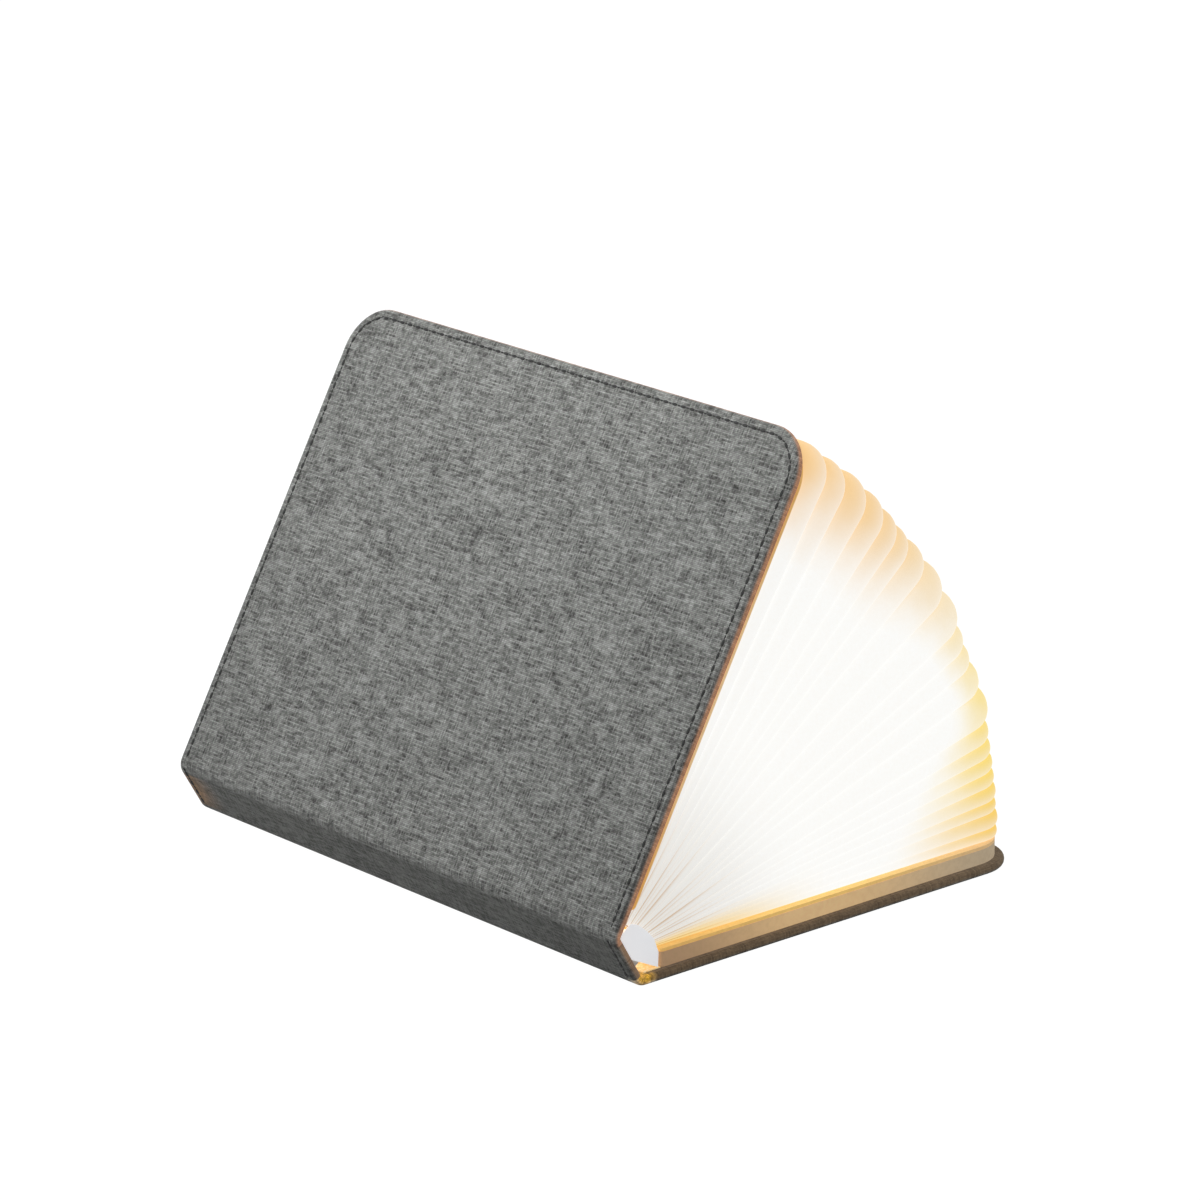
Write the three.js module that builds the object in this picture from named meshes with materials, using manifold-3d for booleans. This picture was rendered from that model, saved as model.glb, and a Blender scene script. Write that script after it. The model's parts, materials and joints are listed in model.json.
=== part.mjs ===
// Folding book lamp: a cloth-bound book whose pleated paper pages fan out from a lit hub on the spine.
// Millimetres, +Z up. The origin is the centre of the back cover's underside, +X points to the fore edge
// and +Y runs along the spine. The lamp stands as it is used: back cover down, front cover propped open.
import * as THREE from "three";
import { mergeVertices } from "three/addons/utils/BufferGeometryUtils.js";
import Module from "manifold-3d";

const wasm = await Module();
wasm.setup();

// Driving dimensions of the book
const bookLength = 215; // along the spine
const coverWidth = 162; // hinge crease to fore edge
const coverThickness = 3;
const coverCornerRadius = 16;
const spineWidth = 20; // crease to crease, so the closed book's thickness
const openingAngle = THREE.MathUtils.degToRad(60.5); // between the covers, as it stands
const hingeSetback = 3.05; // bare cloth on each side of a crease
const edgeRound = 0.7;

// Cloth, boards and the clearances between glued and running pieces
const clothThickness = 0.5;
const turnInWidth = 12; // how far the cloth is folded over the inside of a board
const glueGap = 0.1;
const runningGap = 0.3;
const cutOverrun = 1;
const hingeClothThickness = 1;

// Trays and the lit end boards on them
const trayStart = 10.8; // from the crease
const backTrayThickness = 4.8;
const frontTrayThickness = 1.7;
const trayEndInset = 2.5; // from the cover's head and tail
const trayForeInset = 3;
const trayCornerRadius = 14;
const trayInnerCornerRadius = 1.5;
const endBoardThickness = 1;
const liningThickness = 0.3;

// What the trays hold
const batteryLength = 84;
const batteryWidth = 62;
const batteryFromSpine = 22;
const batteryGap = 22; // between the control board and the battery
const controlBoardLength = 44;
const controlBoardWidth = 26;
const controlBoardThickness = 1.6;
const controlBoardTailInset = 23.5; // near end of the book to the board
const chipHeight = 1.4;
const chipSize = 7;
const sensorSize = 4;
const sensorThickness = 1.5;
const magnetRadius = 5;
const backMagnetThickness = 2.5;
const frontMagnetThickness = 1.2;
const magnetForeInset = 14;
const magnetEndInset = 26;
const triggerMagnetRadius = 3;
const pocketClearance = 0.4;

// Hub on the spine: a channel, a round-topped diffuser, the light strip and two end caps
const hubRadius = 5.4;
const hubCentreDepth = 5; // from the spine's outer face to the axis of the fan
const diffuserWall = 1;
const channelWall = 1;
const channelFloor = 0.9;
const capThickness = 1.6;
const stripWidth = 6;
const stripThickness = 0.8;
const ledSize = 2.8;
const ledHeight = 0.7;
const ledCount = 14;
const socketWidth = 7.4;
const socketHeight = 2.6;
const socketDepth = 6.5;
const socketWall = 0.3;
const chargeBoardLength = 14;
const chargeBoardThickness = 0.8;
const flapThickness = 0.35;
const flapTop = 17.3; // on the spine's inner face, from the back crease
const flapBottom = 8.6;
// Outline of a flap as shares of the spine's width: depth from its outer face, place from the back crease
const flapOutlineShares = [
  [0.38, 0.88],
  [0.46, 0.89],
  [0.56, 0.77],
  [0.61, 0.64],
  [0.65, 0.51],
  [0.68, 0.36],
  [0.64, 0.11],
  [0.51, -0.09],
];
const flapMouthGap = 1.2;
const leadThickness = 0.4;
const leadWidth = 8;

// Page leaves. Each pocket's share of the opening, from the back cover up to the front cover
const pocketShares = [
  1.3, 1.8, 1.4, 1.8, 1.7, 1.8, 1.9, 2.3, 4, 3.4, 2.5, 2.8, 4.6, 4.6, 3.6, 2.7, 3, 3.6, 4, 3.5, 4.1,
];
const leafForeInset = 3.6; // how much shorter the outermost leaves are than a cover
const middleLeafShortfall = 2.6;
const leafCornerRadius = 8;
const leafEndInset = 5.2; // cover's head or tail to the valley
const leafThickness = 0.08;
const leafRootClearance = 0.7;
const pleatStart = 16; // where the pleats begin, from the fan axis
const pleatGap = 0.3; // between two crests that meet
const pleatWall = 0.3;
const pleatBulgeShare = 0.55; // how far a crest stands proud, as a share of the pocket's half width
const cornerSteps = 4; // of a leaf
const boardCornerSteps = 8;
const pleatSteps = 3;
const arcSteps = 10;

const half = (value) => value / 2;
const hingeAngle = half(openingAngle); // each hinge has turned this much from the shut book
const quarterTurn = Math.PI / 2;
const innerFace = coverThickness; // height of a cover's inner face above its outer face
const trayBottom = innerFace + glueGap;

// Heights of a tray and of the end board on it, above the cover's outer face
function stack(trayThickness, magnetThickness) {
  const trayTop = trayBottom + trayThickness;
  const boardBottom = trayTop + glueGap;
  return { trayTop, boardBottom, boardTop: boardBottom + endBoardThickness, magnetThickness };
}
const backStack = stack(backTrayThickness, backMagnetThickness);
const frontStack = stack(frontTrayThickness, frontMagnetThickness);

// Finishes
const finish = (color, roughness, metalness = 0) => ({ color, roughness, metalness });
const finishes = {
  cloth: finish(0x85857f, 0.9),
  greyboard: finish(0x8d867a, 0.95),
  tray: finish(0xc8b48c, 0.75),
  endBoard: finish(0xf0c060, 0.6),
  paper: finish(0xf8f4ea, 0.7),
  plastic: finish(0xeceae4, 0.45),
  diffuser: finish(0xf6f5f0, 0.4),
  circuit: finish(0x2d5a3c, 0.6),
  metal: finish(0xb4b4b8, 0.35, 1),
  battery: finish(0x9aa3ad, 0.5, 0.3),
};

const lamp = new THREE.Group();

// A solid of the library from a closed three.js geometry, and back again.
function solid(geometry) {
  const bare = geometry.clone();
  bare.deleteAttribute("normal");
  bare.deleteAttribute("uv");
  const merged = mergeVertices(bare);
  return new wasm.Manifold(
    new wasm.Mesh({
      numProp: 3,
      vertProperties: merged.attributes.position.array,
      triVerts: new Uint32Array(merged.index.array),
    }),
  );
}

function geometryOf(body) {
  const mesh = body.getMesh();
  const geometry = new THREE.BufferGeometry();
  geometry.setAttribute("position", new THREE.BufferAttribute(mesh.vertProperties, 3));
  geometry.setIndex(new THREE.BufferAttribute(mesh.triVerts, 1));
  return geometry;
}

function add(parent, name, geometry, look) {
  const flat = geometry.index ? geometry.toNonIndexed() : geometry;
  flat.computeVertexNormals();
  const mesh = new THREE.Mesh(flat, new THREE.MeshStandardMaterial(finishes[look]));
  mesh.name = name;
  parent.add(mesh);
  return mesh;
}

// A shape drawn in X and Y, made solid from one height to another, with rounded edges if asked.
function slab(shape, bottom, top, round = 0, steps = boardCornerSteps) {
  const geometry = new THREE.ExtrudeGeometry(shape, {
    depth: top - bottom - round * 2,
    bevelEnabled: round > 0,
    bevelThickness: round,
    bevelSize: round,
    bevelOffset: -round,
    bevelSegments: 2,
    curveSegments: steps,
  });
  return geometry.translate(0, 0, bottom + round);
}

// A shape drawn in X and Z, made solid along Y between two places.
function barAlongSpine(shape, from, to) {
  const geometry = new THREE.ExtrudeGeometry(shape, {
    depth: to - from,
    bevelEnabled: false,
    curveSegments: arcSteps,
  });
  return geometry.rotateX(quarterTurn).translate(0, to, 0);
}

// The outline of a cover, tray or board: square at the spine side, round at the fore edge.
function leafOutline(start, end, halfLength, foreRadius, spineRadius = 0) {
  const shape = new THREE.Shape();
  shape.moveTo(start + spineRadius, -halfLength);
  shape.lineTo(end - foreRadius, -halfLength);
  shape.absarc(end - foreRadius, foreRadius - halfLength, foreRadius, -quarterTurn, 0, false);
  shape.lineTo(end, halfLength - foreRadius);
  shape.absarc(end - foreRadius, halfLength - foreRadius, foreRadius, 0, quarterTurn, false);
  shape.lineTo(start + spineRadius, halfLength);
  if (spineRadius > 0) {
    shape.absarc(start + spineRadius, halfLength - spineRadius, spineRadius, quarterTurn, Math.PI, false);
    shape.lineTo(start, spineRadius - halfLength);
    shape.absarc(start + spineRadius, spineRadius - halfLength, spineRadius, Math.PI, Math.PI + quarterTurn, false);
  } else {
    shape.lineTo(start, -halfLength);
  }
  return shape;
}

function rectangle(xFrom, xTo, yFrom, yTo) {
  const shape = new THREE.Shape();
  shape.moveTo(xFrom, yFrom);
  shape.lineTo(xTo, yFrom);
  shape.lineTo(xTo, yTo);
  shape.lineTo(xFrom, yTo);
  shape.closePath();
  return shape;
}

function disc(x, y, radius) {
  const shape = new THREE.Shape();
  shape.absarc(x, y, radius, 0, Math.PI * 2, false);
  return shape;
}

// The three groups. Covers: X from the crease to the fore edge, Z from the outer face inwards.
// Spine: X from its outer face inwards, Z from the back crease to the front crease.
const backCover = new THREE.Group();
backCover.position.set(-half(coverWidth), 0, 0);

const spine = new THREE.Group();
spine.position.copy(backCover.position);
spine.rotation.y = -hingeAngle;

const spineUp = new THREE.Vector3(-Math.sin(hingeAngle), 0, Math.cos(hingeAngle));
const frontCrease = backCover.position.clone().addScaledVector(spineUp, spineWidth);
const frontCover = new THREE.Group();
frontCover.position.copy(frontCrease);
frontCover.quaternion.setFromRotationMatrix(
  new THREE.Matrix4().makeBasis(
    new THREE.Vector3(Math.cos(openingAngle), 0, Math.sin(openingAngle)),
    new THREE.Vector3(0, -1, 0),
    new THREE.Vector3(Math.sin(openingAngle), 0, -Math.cos(openingAngle)),
  ),
);
lamp.add(backCover, spine, frontCover);

// A greyboard wrapped in cloth. The cloth covers the outside and is turned in round a window.
function clothBoundBoard(group, name, start, end, foreRadius) {
  const halfLength = half(bookLength);
  const outside = slab(leafOutline(start, end, halfLength, foreRadius), 0, coverThickness, edgeRound);
  const hold = clothThickness;
  const boardRadius = Math.max(foreRadius - hold, 0);
  const pocket = slab(
    leafOutline(start + hold, end - hold, halfLength - hold, boardRadius),
    hold,
    coverThickness - hold,
  );
  const margin = Math.min(turnInWidth, (end - start) / 3);
  const window = slab(
    rectangle(start + margin, end - margin, margin - halfLength, halfLength - margin),
    half(coverThickness),
    coverThickness + cutOverrun,
  );
  const wrap = solid(outside).subtract(solid(pocket)).subtract(solid(window));
  add(group, name + "_cloth", geometryOf(wrap), "cloth");

  const skin = clothThickness + glueGap;
  const board = slab(
    leafOutline(start + skin, end - skin, halfLength - skin, Math.max(foreRadius - skin, 0)),
    skin,
    coverThickness - skin,
  );
  add(group, name + "_board", board, "greyboard");
}

clothBoundBoard(backCover, "back_cover", hingeSetback, coverWidth, coverCornerRadius);
clothBoundBoard(frontCover, "front_cover", hingeSetback, coverWidth, coverCornerRadius);

// Spine: the same wrap on a narrow board. Its group's Z runs across the spine, so the wrap is turned.
const spineWrap = new THREE.Group();
spineWrap.quaternion.setFromRotationMatrix(
  new THREE.Matrix4().makeBasis(
    new THREE.Vector3(0, 0, 1),
    new THREE.Vector3(0, -1, 0),
    new THREE.Vector3(1, 0, 0),
  ),
);
spine.add(spineWrap);
clothBoundBoard(spineWrap, "spine", hingeSetback, spineWidth - hingeSetback, 0);

// Tray with pockets for what it holds, the lit end board on it, and the strip of lining beside it.
function tray(group, name, heights, pockets) {
  const halfLength = half(bookLength) - trayEndInset;
  const outline = () =>
    leafOutline(
      trayStart,
      coverWidth - trayForeInset,
      halfLength,
      trayCornerRadius,
      trayInnerCornerRadius,
    );
  const frame = outline();
  frame.holes.push(...pockets);
  add(group, name + "_tray", slab(frame, trayBottom, heights.trayTop), "tray");
  add(group, name + "_end_board", slab(outline(), heights.boardBottom, heights.boardTop), "endBoard");
  const lining = rectangle(
    hingeSetback + edgeRound,
    trayStart - glueGap,
    -halfLength,
    halfLength,
  );
  add(group, name + "_gutter_lining", slab(lining, trayBottom, trayBottom + liningThickness), "paper");
}

const magnetX = coverWidth - trayForeInset - magnetForeInset;
const magnetY = half(bookLength) - magnetEndInset;
const magnetPockets = () =>
  [-magnetY, magnetY].map((y) => disc(magnetX, y, magnetRadius + pocketClearance));

function magnets(group, name, heights) {
  [
    ["near", -magnetY],
    ["far", magnetY],
  ].forEach(([end, y]) => {
    const place = group === frontCover ? -y : y;
    const round = disc(magnetX, place, magnetRadius);
    const top = heights.trayTop - glueGap;
    add(group, name + "_magnet_" + end, slab(round, top - heights.magnetThickness, top), "metal");
  });
}

const controlBoardY = controlBoardTailInset + half(controlBoardLength) - half(bookLength);
const batteryNearEnd = controlBoardY + half(controlBoardLength) + batteryGap;
const batteryArea = (grow) =>
  rectangle(
    batteryFromSpine - grow,
    batteryFromSpine + batteryWidth + grow,
    batteryNearEnd - grow,
    batteryNearEnd + batteryLength + grow,
  );
const controlArea = (grow) =>
  rectangle(
    batteryFromSpine - grow,
    batteryFromSpine + controlBoardWidth + grow,
    controlBoardY - half(controlBoardLength) - grow,
    controlBoardY + half(controlBoardLength) + grow,
  );

tray(backCover, "back", backStack, [
  ...magnetPockets(),
  batteryArea(pocketClearance),
  controlArea(pocketClearance),
]);
magnets(backCover, "back", backStack);
add(
  backCover,
  "battery_pack",
  slab(batteryArea(0), trayBottom + glueGap, backStack.trayTop - glueGap, edgeRound),
  "battery",
);

// Control board with its chip, and the magnetic switch that lights the lamp as the covers part.
const boardBottom = trayBottom + glueGap;
const boardTop = boardBottom + controlBoardThickness;
const chipX = batteryFromSpine + half(controlBoardWidth);
const chip = rectangle(
  chipX - half(chipSize),
  chipX + half(chipSize),
  controlBoardY - half(chipSize),
  controlBoardY + half(chipSize),
);
add(
  backCover,
  "control_board",
  geometryOf(
    solid(slab(controlArea(0), boardBottom, boardTop)).add(
      solid(slab(chip, half(boardBottom + boardTop), boardTop + chipHeight)),
    ),
  ),
  "circuit",
);
const sensorX = batteryFromSpine + sensorSize;
const sensorY = controlBoardY + half(controlBoardLength) - sensorSize;
const sensorBottom = boardTop + glueGap;
add(
  backCover,
  "magnetic_switch",
  slab(
    rectangle(
      sensorX - half(sensorSize),
      sensorX + half(sensorSize),
      sensorY - half(sensorSize),
      sensorY + half(sensorSize),
    ),
    sensorBottom,
    sensorBottom + sensorThickness,
  ),
  "plastic",
);

// The front tray holds the magnet that works the switch, straight above it when the book is shut.
tray(frontCover, "front", frontStack, [
  ...magnetPockets(),
  disc(sensorX, -sensorY, triggerMagnetRadius + pocketClearance),
]);
magnets(frontCover, "front", frontStack);
add(
  frontCover,
  "switch_magnet",
  slab(
    disc(sensorX, -sensorY, triggerMagnetRadius),
    frontStack.trayTop - glueGap - frontMagnetThickness,
    frontStack.trayTop - glueGap,
  ),
  "metal",
);

// Hub. Its sections are drawn in the spine's X and Z and run along the spine.
const hubMiddle = half(spineWidth);
const hubHalfLength = half(bookLength) - trayEndInset;
const hubBodyHalf = hubHalfLength - flapThickness - glueGap - capThickness - glueGap;
const hubBottom = innerFace + glueGap;
const shoulder = hubCentreDepth - half(glueGap);

const channelSection = new THREE.Shape();
channelSection.moveTo(hubBottom, hubMiddle - hubRadius);
channelSection.lineTo(shoulder, hubMiddle - hubRadius);
channelSection.lineTo(shoulder, hubMiddle - hubRadius + channelWall);
channelSection.lineTo(hubBottom + channelFloor, hubMiddle - hubRadius + channelWall);
channelSection.lineTo(hubBottom + channelFloor, hubMiddle + hubRadius - channelWall);
channelSection.lineTo(shoulder, hubMiddle + hubRadius - channelWall);
channelSection.lineTo(shoulder, hubMiddle + hubRadius);
channelSection.lineTo(hubBottom, hubMiddle + hubRadius);
channelSection.closePath();
add(spine, "hub_channel", barAlongSpine(channelSection, -hubBodyHalf, hubBodyHalf), "plastic");

const domeStart = hubCentreDepth + half(glueGap);
const diffuserSection = new THREE.Shape();
diffuserSection.absarc(domeStart, hubMiddle, hubRadius, -quarterTurn, quarterTurn, false);
diffuserSection.absarc(domeStart, hubMiddle, hubRadius - diffuserWall, quarterTurn, -quarterTurn, true);
add(spine, "hub_diffuser", barAlongSpine(diffuserSection, -hubBodyHalf, hubBodyHalf), "diffuser");

// Light strip: a narrow circuit board with its row of lamps.
const stripBottom = hubBottom + channelFloor + glueGap;
const stripTop = stripBottom + stripThickness;
const stripEnd = hubBodyHalf - socketDepth - chargeBoardLength - runningGap;
let strip = solid(
  barAlongSpine(
    rectangle(stripBottom, stripTop, hubMiddle - half(stripWidth), hubMiddle + half(stripWidth)),
    -hubBodyHalf + runningGap,
    stripEnd,
  ),
);
const ledPitch = (stripEnd + hubBodyHalf) / ledCount;
for (let i = 0; i < ledCount; i += 1) {
  const y = ledPitch * (i + 0.5) - hubBodyHalf;
  const led = rectangle(
    half(stripBottom + stripTop),
    stripTop + ledHeight,
    hubMiddle - half(ledSize),
    hubMiddle + half(ledSize),
  );
  strip = strip.add(solid(barAlongSpine(led, y - half(ledSize), y + half(ledSize))));
}
add(spine, "led_strip", geometryOf(strip), "circuit");

// End caps close the hub. The far one has the charging inlet.
function capSection() {
  const shape = new THREE.Shape();
  shape.moveTo(hubBottom, hubMiddle - hubRadius);
  shape.lineTo(hubCentreDepth, hubMiddle - hubRadius);
  shape.absarc(hubCentreDepth, hubMiddle, hubRadius, -quarterTurn, quarterTurn, false);
  shape.lineTo(hubBottom, hubMiddle + hubRadius);
  shape.closePath();
  return shape;
}
const capInner = hubBodyHalf + glueGap;
const capOuter = capInner + capThickness;
add(spine, "hub_near_cap", barAlongSpine(capSection(), -capOuter, -capInner), "plastic");

// Charging inlet: a rounded mouth through the far cap, a metal shell and the small board that carries it.
const socketCentre = stripTop + half(socketHeight) + glueGap;
function socketMouth(grow) {
  const radius = half(socketHeight) + grow;
  const reach = half(socketWidth) - half(socketHeight);
  const shape = new THREE.Shape();
  shape.absarc(socketCentre, hubMiddle + reach, radius, 0, Math.PI, false);
  shape.absarc(socketCentre, hubMiddle - reach, radius, Math.PI, Math.PI * 2, false);
  shape.closePath();
  return shape;
}
const farCap = capSection();
farCap.holes.push(socketMouth(runningGap));
add(spine, "hub_far_cap", barAlongSpine(farCap, capInner, capOuter), "plastic");
const socketShell = solid(barAlongSpine(socketMouth(0), capOuter - socketDepth, capOuter)).subtract(
  solid(
    barAlongSpine(socketMouth(-socketWall), capOuter - socketDepth + socketWall, capOuter + cutOverrun),
  ),
);
add(spine, "charging_socket", geometryOf(socketShell), "metal");
add(
  spine,
  "charging_board",
  barAlongSpine(
    rectangle(
      stripBottom,
      stripBottom + chargeBoardThickness - glueGap,
      hubMiddle - half(stripWidth),
      hubMiddle + half(stripWidth),
    ),
    hubBodyHalf - socketDepth - chargeBoardLength,
    hubBodyHalf - glueGap,
  ),
  "circuit",
);

// White paper flap over each end of the hub, between the covers.
function flapShape() {
  const shape = new THREE.Shape();
  shape.moveTo(hubBottom, flapTop);
  flapOutlineShares.forEach(([depth, along]) => shape.lineTo(depth * spineWidth, along * spineWidth));
  shape.lineTo(hubBottom, flapBottom);
  shape.closePath();
  return shape;
}
add(spine, "near_end_flap", barAlongSpine(flapShape(), -hubHalfLength, flapThickness - hubHalfLength), "paper");
const farFlap = solid(barAlongSpine(flapShape(), hubHalfLength - flapThickness, hubHalfLength)).subtract(
  solid(barAlongSpine(socketMouth(flapMouthGap), hubBodyHalf, hubHalfLength + cutOverrun)),
);
add(spine, "far_end_flap", geometryOf(farFlap), "paper");

// Cloth of a hinge: a band bent round the crease, tangent to both outer faces.
function hingeBand() {
  const reach = hingeSetback - glueGap;
  const bend = quarterTurn - hingeAngle; // how far the cloth turns round the crease
  const radius = reach / Math.tan(half(bend));
  const shape = new THREE.Shape();
  shape.absarc(reach, radius, radius, -quarterTurn - bend, -quarterTurn, false);
  shape.absarc(reach, radius, radius - hingeClothThickness, -quarterTurn, -quarterTurn - bend, true);
  shape.closePath();
  return shape;
}
add(backCover, "back_hinge_cloth", barAlongSpine(hingeBand(), -half(bookLength), half(bookLength)), "cloth");
add(frontCover, "front_hinge_cloth", barAlongSpine(hingeBand(), -half(bookLength), half(bookLength)), "cloth");

// Flat lead from the battery's tray into the hub, bent at the gutter.
function leadSection() {
  const height = trayBottom + liningThickness + glueGap; // of its underside above the cover's outer face
  const inward = hubBottom; // of its spine side from the spine's outer face
  const along = (x, u) =>
    new THREE.Vector2(
      x * Math.cos(hingeAngle) - u * Math.sin(hingeAngle),
      x * Math.sin(hingeAngle) + u * Math.cos(hingeAngle),
    );
  // where a line at depth "inward" from the spine meets a line at "height" above the cover
  const corner = (depth, z) => new THREE.Vector2((depth - z * Math.sin(hingeAngle)) / Math.cos(hingeAngle), z);
  const hubSide = hubMiddle - hubRadius - glueGap;
  const shape = new THREE.Shape();
  const points = [
    new THREE.Vector2(trayStart - glueGap, height),
    new THREE.Vector2(trayStart - glueGap, height + leadThickness),
    corner(inward + leadThickness, height + leadThickness),
    along(inward + leadThickness, hubSide),
    along(inward, hubSide),
    corner(inward, height),
  ];
  shape.setFromPoints(points);
  return shape;
}
add(
  backCover,
  "battery_lead",
  barAlongSpine(leadSection(), controlBoardY - half(leadWidth), controlBoardY + half(leadWidth)),
  "circuit",
);

// Pages. When the book is shut they lie as a stack between the end boards. As it opens, each leaf swings
// about the crease of the cover nearest to it, so the fan spreads evenly. The first and the last leaf are
// glued down on the end boards.
const shareSum = pocketShares.reduce((sum, share) => sum + share, 0);
const leafAngles = [0];
pocketShares.forEach((share) => leafAngles.push(leafAngles.at(-1) + (openingAngle * share) / shareSum));
const lastLeaf = leafAngles.length - 1;
const leafRadius = coverWidth - leafForeInset; // fan axis to the valley at the rim
const backBottom = backStack.boardTop + leafThickness;
const frontBottom = frontStack.boardTop + leafThickness;
const leafPitch = (spineWidth - backBottom - frontBottom) / lastLeaf;
const leaves = leafAngles.map((angle, number) => {
  const low = angle < hingeAngle;
  return {
    number,
    cover: low ? backCover : frontCover,
    step: low ? 1 : -1, // to the next leaf's number, going away from its cover
    turn: low ? angle : openingAngle - angle,
    height: low ? backBottom + leafPitch * number : frontBottom + leafPitch * (lastLeaf - number),
  };
});

// Half the width of the pocket between a leaf and its neighbour, which grows evenly with the distance
// from the crease. The middle pocket's two leaves turn about different creases.
function halfPocket(leaf, outwards) {
  const other = leaves[leaf.number + leaf.step * outwards];
  if (!other) {
    return null;
  }
  if (other.cover !== leaf.cover) {
    const turn = half(openingAngle - leaf.turn - other.turn);
    const apart = spineWidth * Math.cos(hingeAngle - other.turn);
    const meeting = half(leaf.height - other.height + apart) / Math.cos(turn) ** 2;
    return { slope: Math.tan(turn), base: meeting - leaf.height };
  }
  const turn = half(other.turn - leaf.turn);
  const meeting = half(leaf.height + other.height) / Math.cos(turn) ** 2;
  return { slope: Math.abs(Math.tan(turn)), base: outwards * (meeting - leaf.height) };
}

// Rings of points joined into one closed skin, with flat ends.
function skin(rings) {
  const count = rings[0].length;
  const position = rings.flat().flatMap((point) => [point.x, point.y, point.z]);
  const index = [];
  for (let r = 0; r + 1 < rings.length; r += 1) {
    for (let i = 0; i < count; i += 1) {
      const a = r * count + i;
      const b = r * count + ((i + 1) % count);
      index.push(a, a + count, b, b, a + count, b + count);
    }
  }
  const cap = (points) =>
    THREE.ShapeUtils.triangulateShape(
      points.map((point) => new THREE.Vector2(point.out, point.z)),
      [],
    );
  const last = (rings.length - 1) * count;
  cap(rings[0]).forEach(([a, b, c]) => index.push(a, b, c));
  cap(rings.at(-1)).forEach(([a, b, c]) => index.push(last + a, last + c, last + b));
  const geometry = new THREE.BufferGeometry();
  geometry.setAttribute("position", new THREE.Float32BufferAttribute(position, 3));
  geometry.setIndex(index);
  return geometry;
}

// The free edges of a leaf, from the root along one end, round the rim and back along the other end.
function edgePath(start, end, halfLength) {
  const path = [{ x: start, y: -halfLength, turn: -quarterTurn }];
  const corner = (y, from) => {
    for (let i = 0; i <= cornerSteps; i += 1) {
      const turn = from + (quarterTurn * i) / cornerSteps;
      path.push({
        x: end - leafCornerRadius + leafCornerRadius * Math.cos(turn),
        y: y + leafCornerRadius * Math.sin(turn),
        turn,
      });
    }
  };
  corner(leafCornerRadius - halfLength, -quarterTurn);
  corner(halfLength - leafCornerRadius, 0);
  path.push({ x: start, y: halfLength, turn: quarterTurn });
  return path;
}

// Cross-section of the pleats at one place on the edge: the sheet parts into curved lips, each rising to
// the crest that it shares with its neighbour. "out" counts away from the leaf's edge.
function pleatRing(place, above, below) {
  const skinOf = (pocket, side) => {
    const rise = pocket.base + pocket.slope * place.x - half(pleatGap);
    const bulge = rise * pleatBulgeShare;
    const outer = [];
    const inner = [];
    for (let i = 1; i <= pleatSteps; i += 1) {
      const turn = (quarterTurn * i) / pleatSteps;
      const out = bulge * Math.sin(turn);
      const z = side * rise * (1 - Math.cos(turn));
      outer.push({ out, z });
      inner.push({ out: out - pleatWall, z: z + side * half(leafThickness) * Math.cos(turn) });
    }
    return { outer, inner };
  };
  const sheetEdge = { out: 0, z: 0 };
  const top = above ? skinOf(above, 1) : { outer: [], inner: [] };
  const bottom = below ? skinOf(below, -1) : { outer: [], inner: [] };
  const section = [
    sheetEdge,
    ...top.outer,
    ...top.inner.reverse(),
    { out: -pleatWall, z: half(leafThickness) },
    { out: -pleatWall, z: -half(leafThickness) },
    ...bottom.inner,
    ...bottom.outer.reverse(),
  ];
  return section.map(({ out, z }) => ({
    x: place.x + out * Math.cos(place.turn),
    y: place.y + out * Math.sin(place.turn),
    z,
    out,
  }));
}

function pageLeaf(leaf) {
  const above = halfPocket(leaf, 1);
  const below = halfPocket(leaf, -1);
  const fromMiddle = 1 - leaf.turn / hingeAngle;
  const lean = hingeAngle - leaf.turn;
  const axisX = hubCentreDepth * Math.cos(lean) - half(spineWidth) * Math.sin(lean);
  const root = !below ? trayStart : axisX + hubRadius + leafRootClearance;
  const end = axisX + leafRadius - middleLeafShortfall * (1 - fromMiddle * fromMiddle);
  const halfLength = half(bookLength) - leafEndInset;
  const sheet = slab(
    leafOutline(root, end, halfLength, leafCornerRadius),
    -half(leafThickness),
    half(leafThickness),
    0,
    cornerSteps,
  );
  const path = edgePath(axisX + pleatStart, end, halfLength);
  const rings = path.map((place) => pleatRing(place, above, below));
  const geometry = geometryOf(solid(sheet).add(solid(skin(rings))));
  geometry.translate(0, 0, leaf.height);
  const hang = new THREE.Group();
  hang.rotation.y = -leaf.turn;
  leaf.cover.add(hang);
  add(hang, "page_leaf_" + String(leaf.number).padStart(2, "0"), geometry, "paper");
}
leaves.forEach(pageLeaf);

export default lamp;
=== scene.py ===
"""Folding book lamp: cloth cover, stitching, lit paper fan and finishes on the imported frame."""

import json
import logging
import math
from dataclasses import dataclass, field
from enum import Enum
from typing import Callable

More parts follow.
